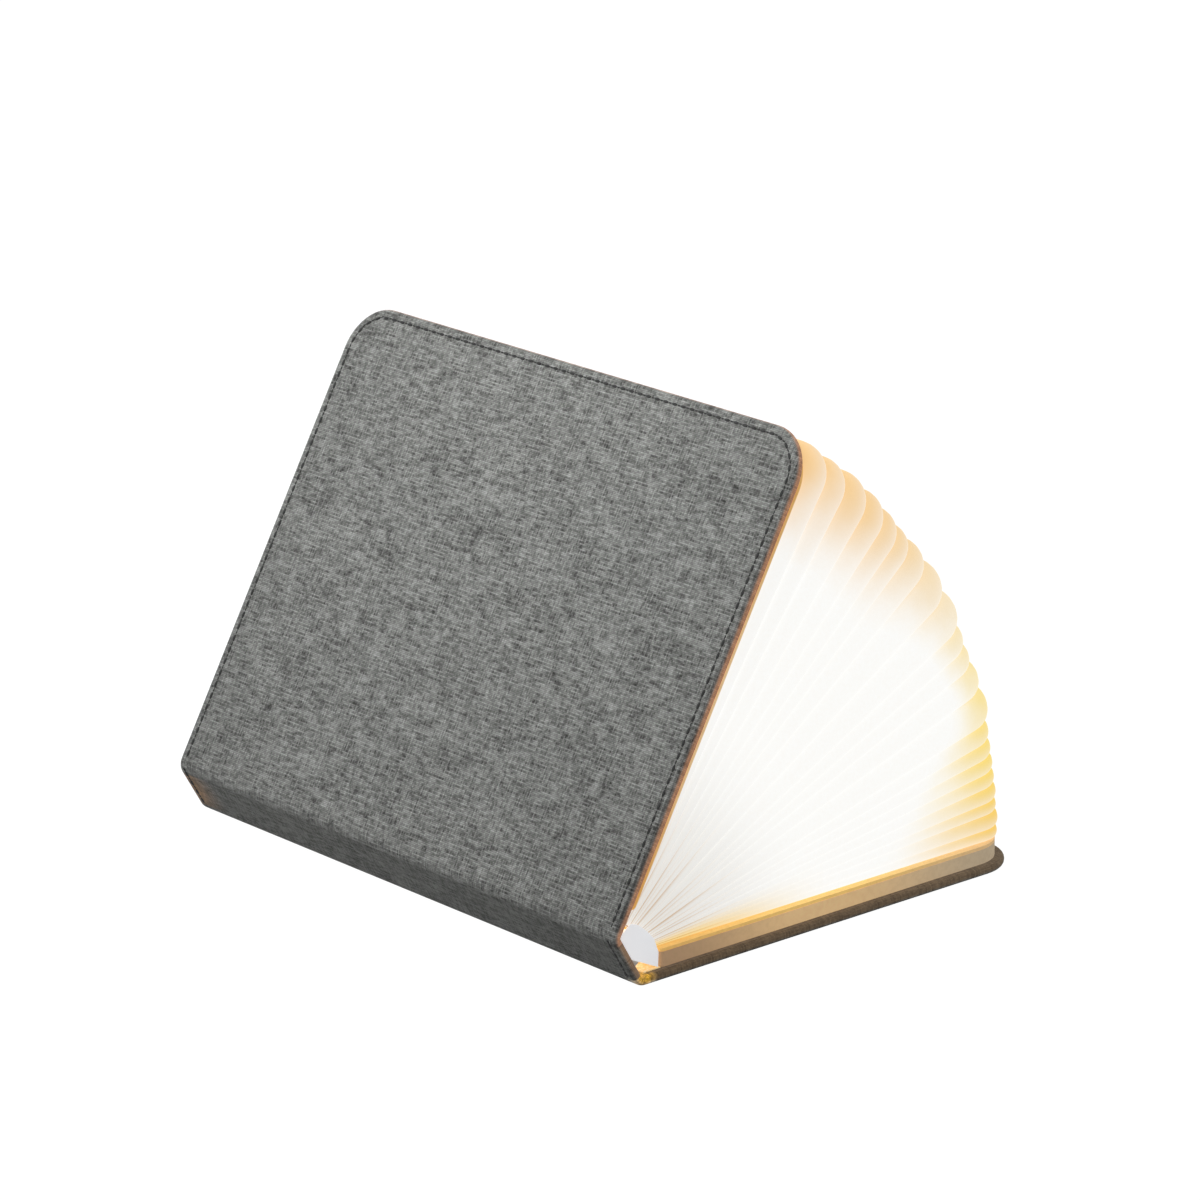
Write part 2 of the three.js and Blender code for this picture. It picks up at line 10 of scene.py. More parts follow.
import bmesh
import bpy
from mathutils import Matrix, Vector
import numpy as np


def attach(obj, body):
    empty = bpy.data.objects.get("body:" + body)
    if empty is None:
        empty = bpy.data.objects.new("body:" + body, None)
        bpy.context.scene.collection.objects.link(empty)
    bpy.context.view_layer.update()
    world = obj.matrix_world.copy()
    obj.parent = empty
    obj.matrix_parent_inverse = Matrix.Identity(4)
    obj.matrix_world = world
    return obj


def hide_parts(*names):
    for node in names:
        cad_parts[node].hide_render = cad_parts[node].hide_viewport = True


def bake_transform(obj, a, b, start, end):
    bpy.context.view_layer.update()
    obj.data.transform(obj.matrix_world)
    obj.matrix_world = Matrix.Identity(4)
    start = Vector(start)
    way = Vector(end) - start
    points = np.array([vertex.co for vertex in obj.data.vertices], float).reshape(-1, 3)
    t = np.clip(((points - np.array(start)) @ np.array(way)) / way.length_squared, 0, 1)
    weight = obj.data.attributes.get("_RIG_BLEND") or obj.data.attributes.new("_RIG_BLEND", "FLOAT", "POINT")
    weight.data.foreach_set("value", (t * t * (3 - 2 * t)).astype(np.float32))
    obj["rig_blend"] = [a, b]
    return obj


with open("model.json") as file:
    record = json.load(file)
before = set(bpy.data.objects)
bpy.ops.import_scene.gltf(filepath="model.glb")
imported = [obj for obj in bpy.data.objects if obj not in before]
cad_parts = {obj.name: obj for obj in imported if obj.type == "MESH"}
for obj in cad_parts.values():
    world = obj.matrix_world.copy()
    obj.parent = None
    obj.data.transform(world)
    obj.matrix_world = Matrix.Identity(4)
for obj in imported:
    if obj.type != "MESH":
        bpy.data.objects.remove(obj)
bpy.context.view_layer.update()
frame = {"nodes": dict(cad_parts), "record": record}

log = logging.getLogger("book_lamp")

MM = 0.001
# Closer than this, in metres, two places are the same.
TINY = 1e-7
# A face whose normal has more than this along an axis faces that way.
STEEP, SHALLOW = 0.6, 0.5
# The Mix node's sockets for colours, by index, since their names also stand for those of numbers.
MIX_A, MIX_B, MIX_RESULT = 6, 7, 2

Socket = bpy.types.NodeSocket
Value = bpy.types.NodeSocket | float | tuple[float, ...]
Pair = tuple[float, float]
Triple = tuple[float, float, float]
Step = tuple[Pair, Pair]
Measure = Callable[[Vector], float]
Plane = tuple[Triple, Triple]

FADE: Pair = (1.0, 0.0)
WHITE = (1.0, 1.0, 1.0, 1.0)
BEVEL = {"profile": 0.5, "material": -1}
# Scale of the soft unevenness of the paper and the plain finishes.
CLOUDS_PER_METRE = 45.0


class Side(Enum):
    """Which of the two covers a piece belongs to."""

    BACK = "back"
    FRONT = "front"


@dataclass(frozen=True)
class Book:
    """Sizes of the book, in metres and radians, with the places of its three stiff parts."""

    length: float = 215 * MM
    width: float = 162 * MM
    board: float = 3 * MM
    spine: float = 20 * MM
    corner: float = 16 * MM
    setback: float = 2.95 * MM
    opening: float = math.radians(60.5)

    @property
    def hinge(self) -> float:
        """Angle that each hinge has turned from the shut book."""
        return self.opening / 2

    @property
    def back_crease(self) -> Vector:
        """A point on the back hinge line."""
        return Vector((-self.width / 2, 0.0, 0.0))

    @property
    def front_crease(self) -> Vector:
        """A point on the front hinge line."""
        up = Vector((-math.sin(self.hinge), 0.0, math.cos(self.hinge)))
        return self.back_crease + up * self.spine

    def cover_place(self, side: Side) -> Matrix:
        """Place of a cover: X from its crease to the fore edge, Z from the outer face inwards.

        Args:
            side: the back or the front cover.

        Returns:
            The matrix from the cover's own frame to the row frame.
        """
        if side is Side.BACK:
            return Matrix.Translation(self.back_crease)
        c, s = math.cos(self.opening), math.sin(self.opening)
        turn = Matrix(((c, 0, s, 0), (0, -1, 0, 0), (s, 0, -c, 0), (0, 0, 0, 1)))
        return Matrix.Translation(self.front_crease) @ turn

    def spine_place(self) -> Matrix:
        """Place of the spine: X from the back to the front crease, Z from its outer face inwards."""
        c, s = math.cos(self.hinge), math.sin(self.hinge)
        turn = Matrix(((-s, 0, c, 0), (0, -1, 0, 0), (c, 0, s, 0), (0, 0, 0, 1)))
        return Matrix.Translation(self.back_crease) @ turn


BOOK = Book()


def linear(hex_colour: str) -> tuple[float, float, float, float]:
    """Turn an sRGB hex colour to linear.

    Args:
        hex_colour: six hex digits with a leading hash.

    Returns:
        Red, green, blue and alpha.
    """
    parts = [int(hex_colour[i : i + 2], 16) / 255 for i in (1, 3, 5)]
    rgb = [p / 12.92 if p <= 0.04045 else ((p + 0.055) / 1.055) ** 2.4 for p in parts]
    return (rgb[0], rgb[1], rgb[2], 1.0)


class Nodes:
    """A shader node tree under construction."""

    def __init__(self, tree: bpy.types.NodeTree) -> None:
        """Start on a tree.

        Args:
            tree: the tree of a material or of the surroundings.
        """
        self.tree = tree

    def fill(self, socket: Socket, value: Value) -> None:
        """Link an input to an output, or set it to a value.

        Args:
            socket: the input.
            value: another node's output, or the value itself.
        """
        if isinstance(value, bpy.types.NodeSocket):
            self.tree.links.new(value, socket)
        else:
            socket.default_value = value

    def node(self, kind: str, inputs: dict[str | int, Value], **settings: str | bool) -> bpy.types.Node:
        """Add a node.

        Args:
            kind: the node's type without its prefix.
            inputs: socket name or index to a value, or to another node's output.
            **settings: attributes of the node.

        Returns:
            The node.
        """
        made = self.tree.nodes.new("ShaderNode" + kind)
        for key, value in settings.items():
            setattr(made, key, value)
        for key, value in inputs.items():
            self.fill(made.inputs[key], value)
        return made

    def math(self, operation: str, a: Value, b: Value = 0.0, clamp: bool = False) -> Socket:
        """Join two values by arithmetic.

        Args:
            operation: the Math node's operation.
            a: the first value.
            b: the second value, where there is one.
            clamp: whether the result stays from 0 to 1.

        Returns:
            The result's socket.
        """
        return self.node("Math", {0: a, 1: b}, operation=operation, use_clamp=clamp).outputs[0]

    def times(self, a: Value, b: Value, clamp: bool = False) -> Socket:
        """Multiply two values and return the product's socket."""
        return self.math("MULTIPLY", a, b, clamp)

    def plus(self, a: Value, b: Value, clamp: bool = False) -> Socket:
        """Add two values and return the sum's socket."""
        return self.math("ADD", a, b, clamp)

    def most(self, a: Value, b: Value, clamp: bool = False) -> Socket:
        """Take the larger of two values and return its socket."""
        return self.math("MAXIMUM", a, b, clamp)

    def mix(self, factor: Value, a: Value, b: Value, blend: str = "MIX") -> Socket:
        """Mix two colours.

        Args:
            factor: the second colour's share.
            a: the first colour, linear.
            b: the second colour, linear.
            blend: the Mix node's way of blending.

        Returns:
            The mixed colour's socket.
        """
        inputs = {"Factor": factor, MIX_A: a, MIX_B: b}
        return self.node("Mix", inputs, data_type="RGBA", blend_type=blend).outputs[MIX_RESULT]

    def between(self, value: Value, start: Pair, to: Pair = (0.0, 1.0)) -> Socket:
        """Map a value by a smooth step, held at both ends.

        Args:
            value: the value.
            start: the range that it is read in.
            to: what the two ends of that range become.

        Returns:
            The result's socket.
        """
        ends = {"From Min": start[0], "From Max": start[1], "To Min": to[0], "To Max": to[1]}
        return self.node("MapRange", {"Value": value, **ends}, interpolation_type="SMOOTHSTEP").outputs[0]

    def noise(self, place: Socket, scale: float, detail: float, roughness: float = 0.5) -> Socket:
        """Lay a noise over a place.

        Args:
            place: the place's socket.
            scale: how many grains there are in a unit of the place.
            detail: number of finer octaves.
            roughness: how much they show.

        Returns:
            The noise's socket, mostly from 0.3 to 0.7.
        """
        inputs = {"Vector": place, "Scale": scale, "Detail": detail, "Roughness": roughness}
        return self.node("TexNoise", inputs).outputs[0]

    def attribute(self, name: str) -> Socket:
        """Read one of the mesh's own attributes and return its socket."""
        return self.node("Attribute", {}, attribute_name=name).outputs["Fac"]

    def object_place(self) -> Socket:
        """Socket of the Object coordinates, in metres."""
        return self.node("TexCoord", {}).outputs["Object"]

    def seen(self) -> Socket:
        """Socket of 1 where the camera looks, also by reflection or through something, and 0 elsewhere."""
        path = self.node("LightPath", {}).outputs
        directly = self.most(path["Is Camera Ray"], path["Is Glossy Ray"])
        return self.most(directly, path["Is Transmission Ray"])


class Finish(Nodes):
    """A material under construction: a Principled shader and the nodes that feed it."""

    def __init__(self, name: str, roughness: float, **sockets: float) -> None:
        """Start a material.

        Args:
            name: the material's name.
            roughness: base roughness.
            **sockets: further sockets of the shader, with underscores for spaces.
        """
        self.material = bpy.data.materials.new(name)
        self.material.use_nodes = True
        super().__init__(self.material.node_tree)
        self.shader = self.tree.nodes["Principled BSDF"]
        self.feed("Roughness", roughness)
        for key, value in sockets.items():
            self.feed(key.replace("_", " "), value)

    def feed(self, socket: str, value: Value) -> None:
        """Give a socket of the shader a value.

        Args:
            socket: the socket's name.
            value: another node's output, or the value itself.
        """
        self.fill(self.shader.inputs[socket], value)

    def glow(self, colour: Value, strength: Value) -> None:
        """Let the surface shine by itself.

        Args:
            colour: the light's colour.
            strength: the light's strength.
        """
        self.feed("Emission Color", colour)
        self.feed("Emission Strength", strength)

    def bump(self, height: Socket, depth_mm: float, strength: float) -> None:
        """Raise the surface by a height from 0 to 1.

        Args:
            height: the height's socket.
            depth_mm: the height's real depth in millimetres.
            strength: how much of it shows.
        """
        made = self.node("Bump", {"Height": height, "Distance": depth_mm * MM, "Strength": strength})
        self.feed("Normal", made.outputs["Normal"])


@dataclass(frozen=True)
class LinenCloth:
    """Linen-look polyester book cloth, plain weave of heathered yarn.

    Every crossing of two yarns has its own tone, and slubs run along both yarns. The thread pitch is about
    0.6 mm. Towards the inside of the boards the lamp's light is painted into the cloth, as a warm tint of its
    colour and a glow of its own, and so it is round a spot where light leaks out of the hub. Each tone step
    is added to the others, 0 dark to 1 light.
    """

    name: str
    # Painted glow: the lamp's warm light, tinted into the cloth and shining from it towards the inside of the
    # boards.
    inner: str = "#B0967A"
    inner_depth: Pair = (0.03, 0.5)
    inner_light: float = 0.4
    flatten: float = 0.1
    # Painted glow round the spot where light leaks out of the hub: its place, tone, light and reach.
    spot: Triple | None = None
    spot_tone: str = "#FFC898"
    spot_light: float = 0.0
    spot_reach: Pair = (3 * MM, 19 * MM)
    light: str = "#B0B2AE"
    dark: str = "#2D2D2B"
    # Painted shade: near black laid into the pits between the threads.
    pit_shade: str = "#1E1E1D"
    pitch_mm: float = 0.55
    weft_slub: Pair = (6.0, 7.31)
    warp_slub: Pair = (4.2, 5.17)
    patches_per_mm: float = 0.06
    base_tone: float = 0.34
    crossing_tone: float = 0.2
    weft_step: Step = ((0.32, 0.68), (-0.22, 0.2))
    warp_step: Step = ((0.34, 0.68), (-0.15, 0.16))
    patch_step: Step = ((0.3, 0.7), (-0.05, 0.05))
    # How the painted shade in the pits fades as the threads rise.
    pit_shade_step: Step = ((0.0, 0.3), (0.6, 0.0))
    # How strongly the painted glow's colour multiplies the weave.
    glow_tint_strength: float = 0.9
    tone_relief: float = 0.4
    relief_mm: float = 0.15

    @staticmethod
    def yarn(cloth: Finish, along: Socket, thread: Socket, slub: Pair) -> Socket:
        """Lay slubs along one set of yarns, unlike on every thread.

        Args:
            cloth: the finish.
            along: place along the yarn, in millimetres.
            thread: number of the thread.
            slub: a slub's length in millimetres, and how far the noise jumps from thread to thread.

        Returns:
            The noise's socket.
        """
        length_mm, jump = slub
        place = {0: cloth.math("DIVIDE", along, length_mm), 1: cloth.times(thread, jump)}
        return cloth.noise(cloth.node("CombineXYZ", place).outputs[0], 1.0, 2.0, 0.55)

    def weave(self, cloth: Finish) -> tuple[Socket, Socket]:
        """Lay the weave.

        Args:
            cloth: the finish.

        Returns:
            Sockets of the tone, 0 dark to 1 light, and of the height, 0 between the threads to 1 on them.
        """
        uv = cloth.node("UVMap", {}, uv_map="cloth").outputs[0]
        parts = cloth.node("SeparateXYZ", {0: uv})
        u, v = parts.outputs[0], parts.outputs[1]
        column, row = (cloth.math("FLOOR", cloth.math("DIVIDE", at, self.pitch_mm)) for at in (u, v))
        crossing = cloth.node("CombineXYZ", {0: column, 1: row}).outputs[0]
        crossing = cloth.node("TexWhiteNoise", {"Vector": crossing}, noise_dimensions="2D").outputs[0]
        weft = self.yarn(cloth, u, row, self.weft_slub)
        warp = self.yarn(cloth, v, column, self.warp_slub)
        patch = cloth.noise(uv, self.patches_per_mm, 3.0, 0.55)
        tone = cloth.plus(cloth.times(crossing, self.crossing_tone), self.base_tone)
        tone = cloth.plus(tone, cloth.between(weft, *self.weft_step))
        tone = cloth.plus(tone, cloth.between(warp, *self.warp_step))
        tone = cloth.plus(tone, cloth.between(patch, *self.patch_step), True)
        waves = (cloth.math("SINE", cloth.times(at, math.pi / self.pitch_mm)) for at in (u, v))
        height = cloth.times(*(cloth.math("ABSOLUTE", wave) for wave in waves))
        return tone, height

    def make(self) -> bpy.types.Material:
        """Build the cloth from UVs in millimetres and the depth attribute, 0 outside to 1 inside."""
        cloth = Finish(self.name, 0.88, Sheen_Weight=0.2, Sheen_Roughness=0.5, Specular_IOR_Level=0.2)
        tone, height = self.weave(cloth)
        colour = cloth.mix(tone, linear(self.dark), linear(self.light))
        # Painted shade: the weave darkens towards near black where it dips between the threads.
        colour = cloth.mix(cloth.between(height, *self.pit_shade_step), colour, linear(self.pit_shade))
        # Painted glow: towards the inside of the boards the weave is multiplied by the lamp's warm colour and
        # shines by itself.
        inside = cloth.between(cloth.attribute("depth"), self.inner_depth)
        glow_tinted = cloth.mix(self.glow_tint_strength, linear(self.inner), colour, "MULTIPLY")
        glow_tinted = cloth.mix(self.flatten, glow_tinted, linear(self.inner))
        light = cloth.times(inside, self.inner_light)
        # Painted glow: round the leak spot the cloth takes a warm tint and shines by itself.
        if self.spot:
            ends = {0: cloth.object_place(), 1: self.spot}
            away = cloth.node("VectorMath", ends, operation="DISTANCE").outputs["Value"]
            close = cloth.between(away, self.spot_reach, (1.0, 0.0))
            glow_tinted = cloth.mix(close, glow_tinted, cloth.mix(1.0, linear(self.spot_tone), colour, "MULTIPLY"))
            inside = cloth.most(inside, close)
            light = cloth.most(light, cloth.times(close, self.spot_light))
        colour = cloth.mix(inside, colour, glow_tinted)
        cloth.feed("Base Color", colour)
        cloth.glow(colour, light)
        cloth.bump(cloth.plus(height, cloth.times(tone, self.tone_relief)), self.relief_mm, 0.7)
        return cloth.material


@dataclass(frozen=True)
class LitPaper:
    """Spun fibre paper, lit from inside the fan.

    It burns out to white along the middle of each page, turns peach at the upper rim and yellow at the
    lower rim, and the folds show as thin amber lines of painted shade where the pages run in to the hub.
    Steps by `run` go from 0 at the hub to 1 at the rim, and steps by `level` from 0 at the lowest page to 1
    at the highest.
    """

    name: str
    heart: str = "#FDFDFB"
    hub_side: str = "#EAE9E5"
    # Painted shade at the folds: the colour of the thin lines along the valleys.
    crease: str = "#B5812F"
    amber: str = "#F0D28C"
    # Painted shade: dark lines in the folds at the upper pages' rim corners.
    corner_fold_shade: str = "#6B5136"
    fibre: str = "#E2C08C"
    rim_tones: tuple[tuple[float, str], ...] = (
        (0.0, "#F9CC60"),
        (0.14, "#FCDE78"),
        (0.3, "#FCE69A"),
        (0.5, "#FAE6C0"),
        (0.72, "#F8D5A0"),
        (1.0, "#F9D094"),
    )
    low_tint_by_level: Step = ((0.0, 0.35), (0.36, 0.1))
    high_tint_by_level: Step = ((0.4, 0.75), (0.0, 0.12))
    tint_drift: float = 0.1
    shade_by_across: Step = ((0.15, 0.85), (0.55, 1.0))
    hub_by_run: Step = ((0.06, 0.5), FADE)
    amber_by_level: Step = ((0.0, 0.13), FADE)
    amber_by_run: Step = ((0.12, 0.55), FADE)
    # How thin the painted shade lines at the folds are, how far they reach from the hub and how strong they
    # are at the rim.
    fold_power_by_run: Step = ((0.1, 0.5), (1.4, 9.0))
    fold_by_run: Step = ((0.1, 0.42), FADE)
    rim_fold: float = 0.5
    corner_power: float = 40.0
    corner_run: Pair = (0.78, 0.95)
    corner_level: Pair = (0.76, 0.86)
    fibre_step: Step = ((0.3, 0.7), (0.0, 0.05))
    burnt_run: Pair = (0.2, 0.45)
    burnt_by_level: Step = ((0.75, 1.0), (1.0, 0.45))
    own_light: float = 0.86
    heart_light: float = 0.97
    amber_light: float = 0.08
    albedo: float = 0.3
    heart_albedo: float = 0.06

    def ramp(self, paper: Finish, level: Socket) -> Socket:
        """Colour the rim from the lowest page to the highest.

        Args:
            paper: the finish.
            level: the level's socket.

        Returns:
            The colour's socket.
        """
        made = paper.node("ValToRGB", {"Fac": level})
        stops = made.color_ramp.elements
        for index, (place, tone) in enumerate(self.rim_tones):
            stop = stops[index] if index < len(stops) else stops.new(place)
            stop.position = place
            stop.color = linear(tone)
        return made.outputs["Color"]

    def warmth(self, paper: Finish, run: Socket, across: Socket, level: Socket) -> Socket:
        """Measure how far a place lies in the tinted zone along the rim.

        The zone is deep on the lowest pages, narrow halfway up and middling at the top.

        Args:
            paper: the finish.
            run: place along the page.
            across: place across the pocket.
            level: the level's socket.

        Returns:
            The measure's socket, 0 in the white heart to 1 at the rim.
        """
        depth = paper.plus(
            paper.between(level, *self.low_tint_by_level), paper.between(level, *self.high_tint_by_level)
        )
        cloud = paper.noise(paper.object_place(), CLOUDS_PER_METRE, 3.0)
        drift = paper.times(paper.math("SUBTRACT", cloud, 0.5), self.tint_drift)
        from_rim = paper.math("DIVIDE", paper.math("SUBTRACT", paper.plus(run, drift), 1.0), depth)
        shade = paper.between(across, *self.shade_by_across)
        inner = paper.times(paper.between(from_rim, (-1.0, 0.0)), shade)
        return paper.most(inner, paper.times(paper.attribute("rim"), shade), True)

    def make(self) -> bpy.types.Material:
        """Build the paper from the pocket's UVs and its level, rim and play attributes."""
        paper = Finish(self.name, 0.75, Specular_IOR_Level=0.1)
        parts = paper.node("SeparateXYZ", {0: paper.node("UVMap", {}, uv_map="pocket").outputs[0]})
        run, across = parts.outputs[0], parts.outputs[1]
        level = paper.attribute("level")
        fibre = paper.noise(paper.object_place(), 900.0, 4.0, 0.7)
        warm = self.warmth(paper, run, across, level)
        colour = paper.mix(warm, linear(self.heart), self.ramp(paper, level))
        colour = paper.mix(paper.between(run, *self.hub_by_run), colour, linear(self.hub_side))
        low = paper.between(level, *self.amber_by_level)
        amber = paper.times(low, paper.between(run, *self.amber_by_run))
        colour = paper.mix(amber, colour, linear(self.amber))
        # Painted shade: thin amber lines along the folds, strongest near the hub and in the warm zone at the
        # rim.
        from_crest = paper.times(paper.math("ABSOLUTE", paper.math("SUBTRACT", across, 0.5)), 2.0)
        fold = paper.math("POWER", from_crest, paper.between(run, *self.fold_power_by_run))
        near_hub = paper.times(paper.between(run, *self.fold_by_run), paper.attribute("play"))
        line = paper.times(fold, paper.most(near_hub, paper.times(warm, self.rim_fold)), True)
        colour = paper.mix(line, colour, linear(self.crease))
        # Painted shade: dark brown lines in the folds at the rim corners of the upper pages.
        at_corner = paper.times(paper.between(run, self.corner_run), paper.between(level, self.corner_level))
        at_corner = paper.times(paper.math("POWER", from_crest, self.corner_power), at_corner)
        colour = paper.mix(at_corner, colour, linear(self.corner_fold_shade))
        colour = paper.mix(paper.between(fibre, *self.fibre_step), colour, linear(self.fibre))
        burnt = paper.times(paper.between(run, self.burnt_run), paper.between(level, *self.burnt_by_level))
        burnt = paper.times(burnt, paper.math("SUBTRACT", 1.0, warm), True)
        dim = paper.between(burnt, (0.0, 1.0), (self.albedo, self.heart_albedo))
        grey = paper.node("CombineColor", {0: dim, 1: dim, 2: dim}).outputs[0]
        paper.feed("Base Color", paper.mix(1.0, colour, grey, "MULTIPLY"))
        light = paper.between(burnt, (0.0, 1.0), (self.own_light, self.heart_light))
        paper.glow(colour, paper.plus(light, paper.times(amber, self.amber_light)))
        paper.bump(fibre, 0.05, 0.5)
        return paper.material


@dataclass(frozen=True)
class Plain:
    """A finish with a fine grain on Object coordinates: moulded plastic, board, card, metal or paper."""

    name: str
    colour: str
    shade: str
    grain_mm: float
    roughness: float
    relief_mm: float = 0.02
    metallic: float = 0.0
    light: float = 0.0
    tone_range: Pair = (0.35, 0.65)
    grain_range: Pair = (0.3, 0.7)
    roughness_play: Pair = (0.85, 1.1)

    def make(self) -> bpy.types.Material:
        """Build the finish from two noises, one for tone and one for grain."""
        plain = Finish(self.name, self.roughness, Metallic=self.metallic)
        place = plain.object_place()
        broad = plain.noise(place, CLOUDS_PER_METRE, 3.0)
        grain = plain.noise(place, 1 / (self.grain_mm * MM), 5.0)
        tone = plain.times(plain.plus(broad, grain), 0.5)
        colour = plain.mix(plain.between(tone, self.tone_range), linear(self.shade), linear(self.colour))
        plain.feed("Base Color", colour)
        if self.light > 0:
            plain.glow(colour, self.light)
        rough = tuple(min(self.roughness * play, 1.0) for play in self.roughness_play)
        plain.feed("Roughness", plain.between(grain, self.grain_range, rough))
        plain.bump(grain, self.relief_mm, 0.6)
        return plain.material


@dataclass(frozen=True)
class HubLitCard:
    """Cream card next to the lit fan, tinted by the light from its hub to its fore edge."""

    name: str
    tones: tuple[str, str, str]
    lights: Triple
    side: Side
    fibre: str = "#8A7350"
    near_run: Pair = (12 * MM, 70 * MM)
    far_run: Pair = (85 * MM, 155 * MM)
    fibre_step: Step = ((0.35, 0.7), (0.0, 0.12))

    def make(self) -> bpy.types.Material:
        """Build the card from the distance to the crease."""
        card = Finish(self.name, 0.8, Specular_IOR_Level=0.15)
        place = card.object_place()
        crease = BOOK.back_crease if self.side is Side.BACK else BOOK.front_crease
        offset = card.node("VectorMath", {0: place, 1: tuple(crease)}, operation="SUBTRACT").outputs[0]
        level = card.node("VectorMath", {0: offset, 1: (1.0, 0.0, 1.0)}, operation="MULTIPLY").outputs[0]
        away = card.node("VectorMath", {0: level}, operation="LENGTH").outputs["Value"]
        fibre = card.noise(place, 700.0, 4.0)
        near, middle, far = (linear(tone) for tone in self.tones)
        colour = card.mix(card.between(away, self.near_run), near, middle)
        colour = card.mix(card.between(away, self.far_run), colour, far)
        colour = card.mix(card.between(fibre, *self.fibre_step), colour, linear(self.fibre))
        near_light, middle_light, far_light = self.lights
        light = card.between(away, self.near_run, (near_light, middle_light))
        light = card.plus(light, card.between(away, self.far_run, (0.0, far_light - middle_light)))
        card.feed("Base Color", colour)
        card.glow(colour, light)
        card.bump(fibre, 0.04, 0.5)
        return card.material


class Finishes:
    """All materials of the lamp, each made once."""

    # Centres of the painted glow spots on the back cover's cloth and the spine's cloth, where light leaks out
    # of the hub.
    near_foot: Triple = (-78.5 * MM, -107.5 * MM, 3.5 * MM)
    far_foot: Triple = (-86.5 * MM, 108 * MM, 8.5 * MM)

    def __init__(self) -> None:
        """Build every material."""
        self.cloth = LinenCloth(
            "linen_book_cloth",
            spot=self.near_foot,
            spot_tone="#FFC24A",
            spot_light=2.2,
            spot_reach=(1.5 * MM, 7 * MM),
        ).make()
        self.cloth_spine = LinenCloth(
            "linen_book_cloth_spine", "#D0A888", inner_light=0.6, spot=self.far_foot, spot_light=0.45
        ).make()
        self.cloth_lit = LinenCloth("linen_book_cloth_lit_edge", "#E8AC88", (0.03, 0.4), 1.0).make()
        self.cloth_gutter = LinenCloth(
            "linen_book_cloth_lit_gutter", "#FFCF6A", (-1.0, -0.5), 1.1, 0.0, light="#FFF2CC", dark="#7A5A1C"
        ).make()
        self.paper = LitPaper("lit_fan_paper").make()
        self.thread = Plain("waxed_polyester_thread", "#161615", "#0B0B0A", 0.15, 0.6, 0.03).make()
        # Painted light: the gutter lining paper shines by itself, as if lit by the lamp.
        lining = Plain("gutter_lining_paper_lit", "#F8EBD0", "#E4BC6A", 0.8, 0.75, light=0.4).make()
        self.by_node = {"back_gutter_lining": lining, "front_gutter_lining": lining}
        for side, kind, node, tones, lights in (
            (Side.BACK, "tray", "tray", ("#AE8F70", "#D3B284", "#C3B196"), (0.5, 0.64, 0.45)),
            (Side.BACK, "end", "end_board", ("#E6B86C", "#F2C878", "#E2BE8C"), (0.5, 0.5, 0.5)),
            (Side.FRONT, "tray", "tray", ("#C48A42", "#D99A45", "#E2A552"), (0.3, 0.3, 0.3)),
            (Side.FRONT, "end", "end_board", ("#E9B266", "#F6D2A0", "#F0BE72"), (0.5, 0.5, 0.45)),
        ):
            card = HubLitCard(f"{kind}_card_{side.value}", tones, lights, side)
            self.by_node[f"{side.value}_{node}"] = card.make()
        self.by_slot = {
            "book_cloth": self.cloth,
            "page_paper": Plain("hub_end_paper", "#ECEDEF", "#E2E3E7", 0.4, 0.7, light=0.62).make(),
            "greyboard": Plain("raw_greyboard", "#9C958A", "#857E73", 0.8, 0.95, 0.06).make(),
            "white_plastic": Plain("moulded_white_abs", "#ECEAE4", "#E2E0DA", 0.35, 0.45).make(),
            "diffuser": Plain("opal_polycarbonate", "#FFF6E0", "#FFF0D0", 0.4, 0.35, 0.01, light=1.0).make(),
            "circuit": Plain("green_solder_mask", "#2F6444", "#24513A", 0.3, 0.5).make(),
            "steel": Plain("nickel_plated_steel", "#C4C4C6", "#ADADB0", 0.12, 0.32, 0.01, 1.0).make(),
            "cell_pouch": Plain("laminated_foil_pouch", "#AEB6BE", "#98A1AA", 0.6, 0.42, 0.03, 0.6).make(),
        }

    def dress(self) -> None:
        """Give every CAD node that stays its finish."""
        for part in frame["record"]["subparts"]:
            node = part["node"]
            materials = frame["nodes"][node].data.materials
            materials.clear()
            materials.append(self.by_node.get(node) or self.by_slot[part["material_slot"]])


def finished(bm: bmesh.types.BMesh, name: str, slot: str, *materials: bpy.types.Material) -> bpy.types.Object:
    """Turn a bmesh into a finished piece at the origin.

    Args:
        bm: the shape, already in the row frame. It is freed.
        name: the piece's name.
        slot: the record's material slot; not used.
        *materials: its materials in order.

    Returns:
        The piece.
    """
    mesh = bpy.data.meshes.new(name)
    bm.to_mesh(mesh)
    bm.free()
    piece = bpy.data.objects.new(name, mesh)
    bpy.context.scene.collection.objects.link(piece)
    for material in materials:
        mesh.materials.append(material)
    log.info("%s: %d faces", name, len(mesh.polygons))
    return piece


def extrude(bm: bmesh.types.BMesh, face: bmesh.types.BMFace, by: Triple) -> None:
    """Draw a face out to a solid.

    Args:
        bm: the shape.
        face: its face.
        by: how far and which way.
    """
    grown = bmesh.ops.extrude_face_region(bm, geom=[face])
    moved = [item for item in grown["geom"] if isinstance(item, bmesh.types.BMVert)]
    bmesh.ops.translate(bm, verts=moved, vec=by)


def lies_in(edge: bmesh.types.BMEdge, at: Triple, normal: Triple) -> bool:
    """Tell whether an edge lies in a plane.

    Args:
        edge: the edge.
        at: a point of the plane.
        normal: the plane's normal.

    Returns:
        True where both ends lie in it.
    """
    return all(abs((vert.co - Vector(at)).dot(Vector(normal))) < TINY for vert in edge.verts)


def runs_square_to(edge: bmesh.types.BMEdge, axis: int) -> bool:
    """Tell whether both ends of an edge have the same place on an axis, by the axis's number."""
    return abs(edge.verts[0].co[axis] - edge.verts[1].co[axis]) < TINY


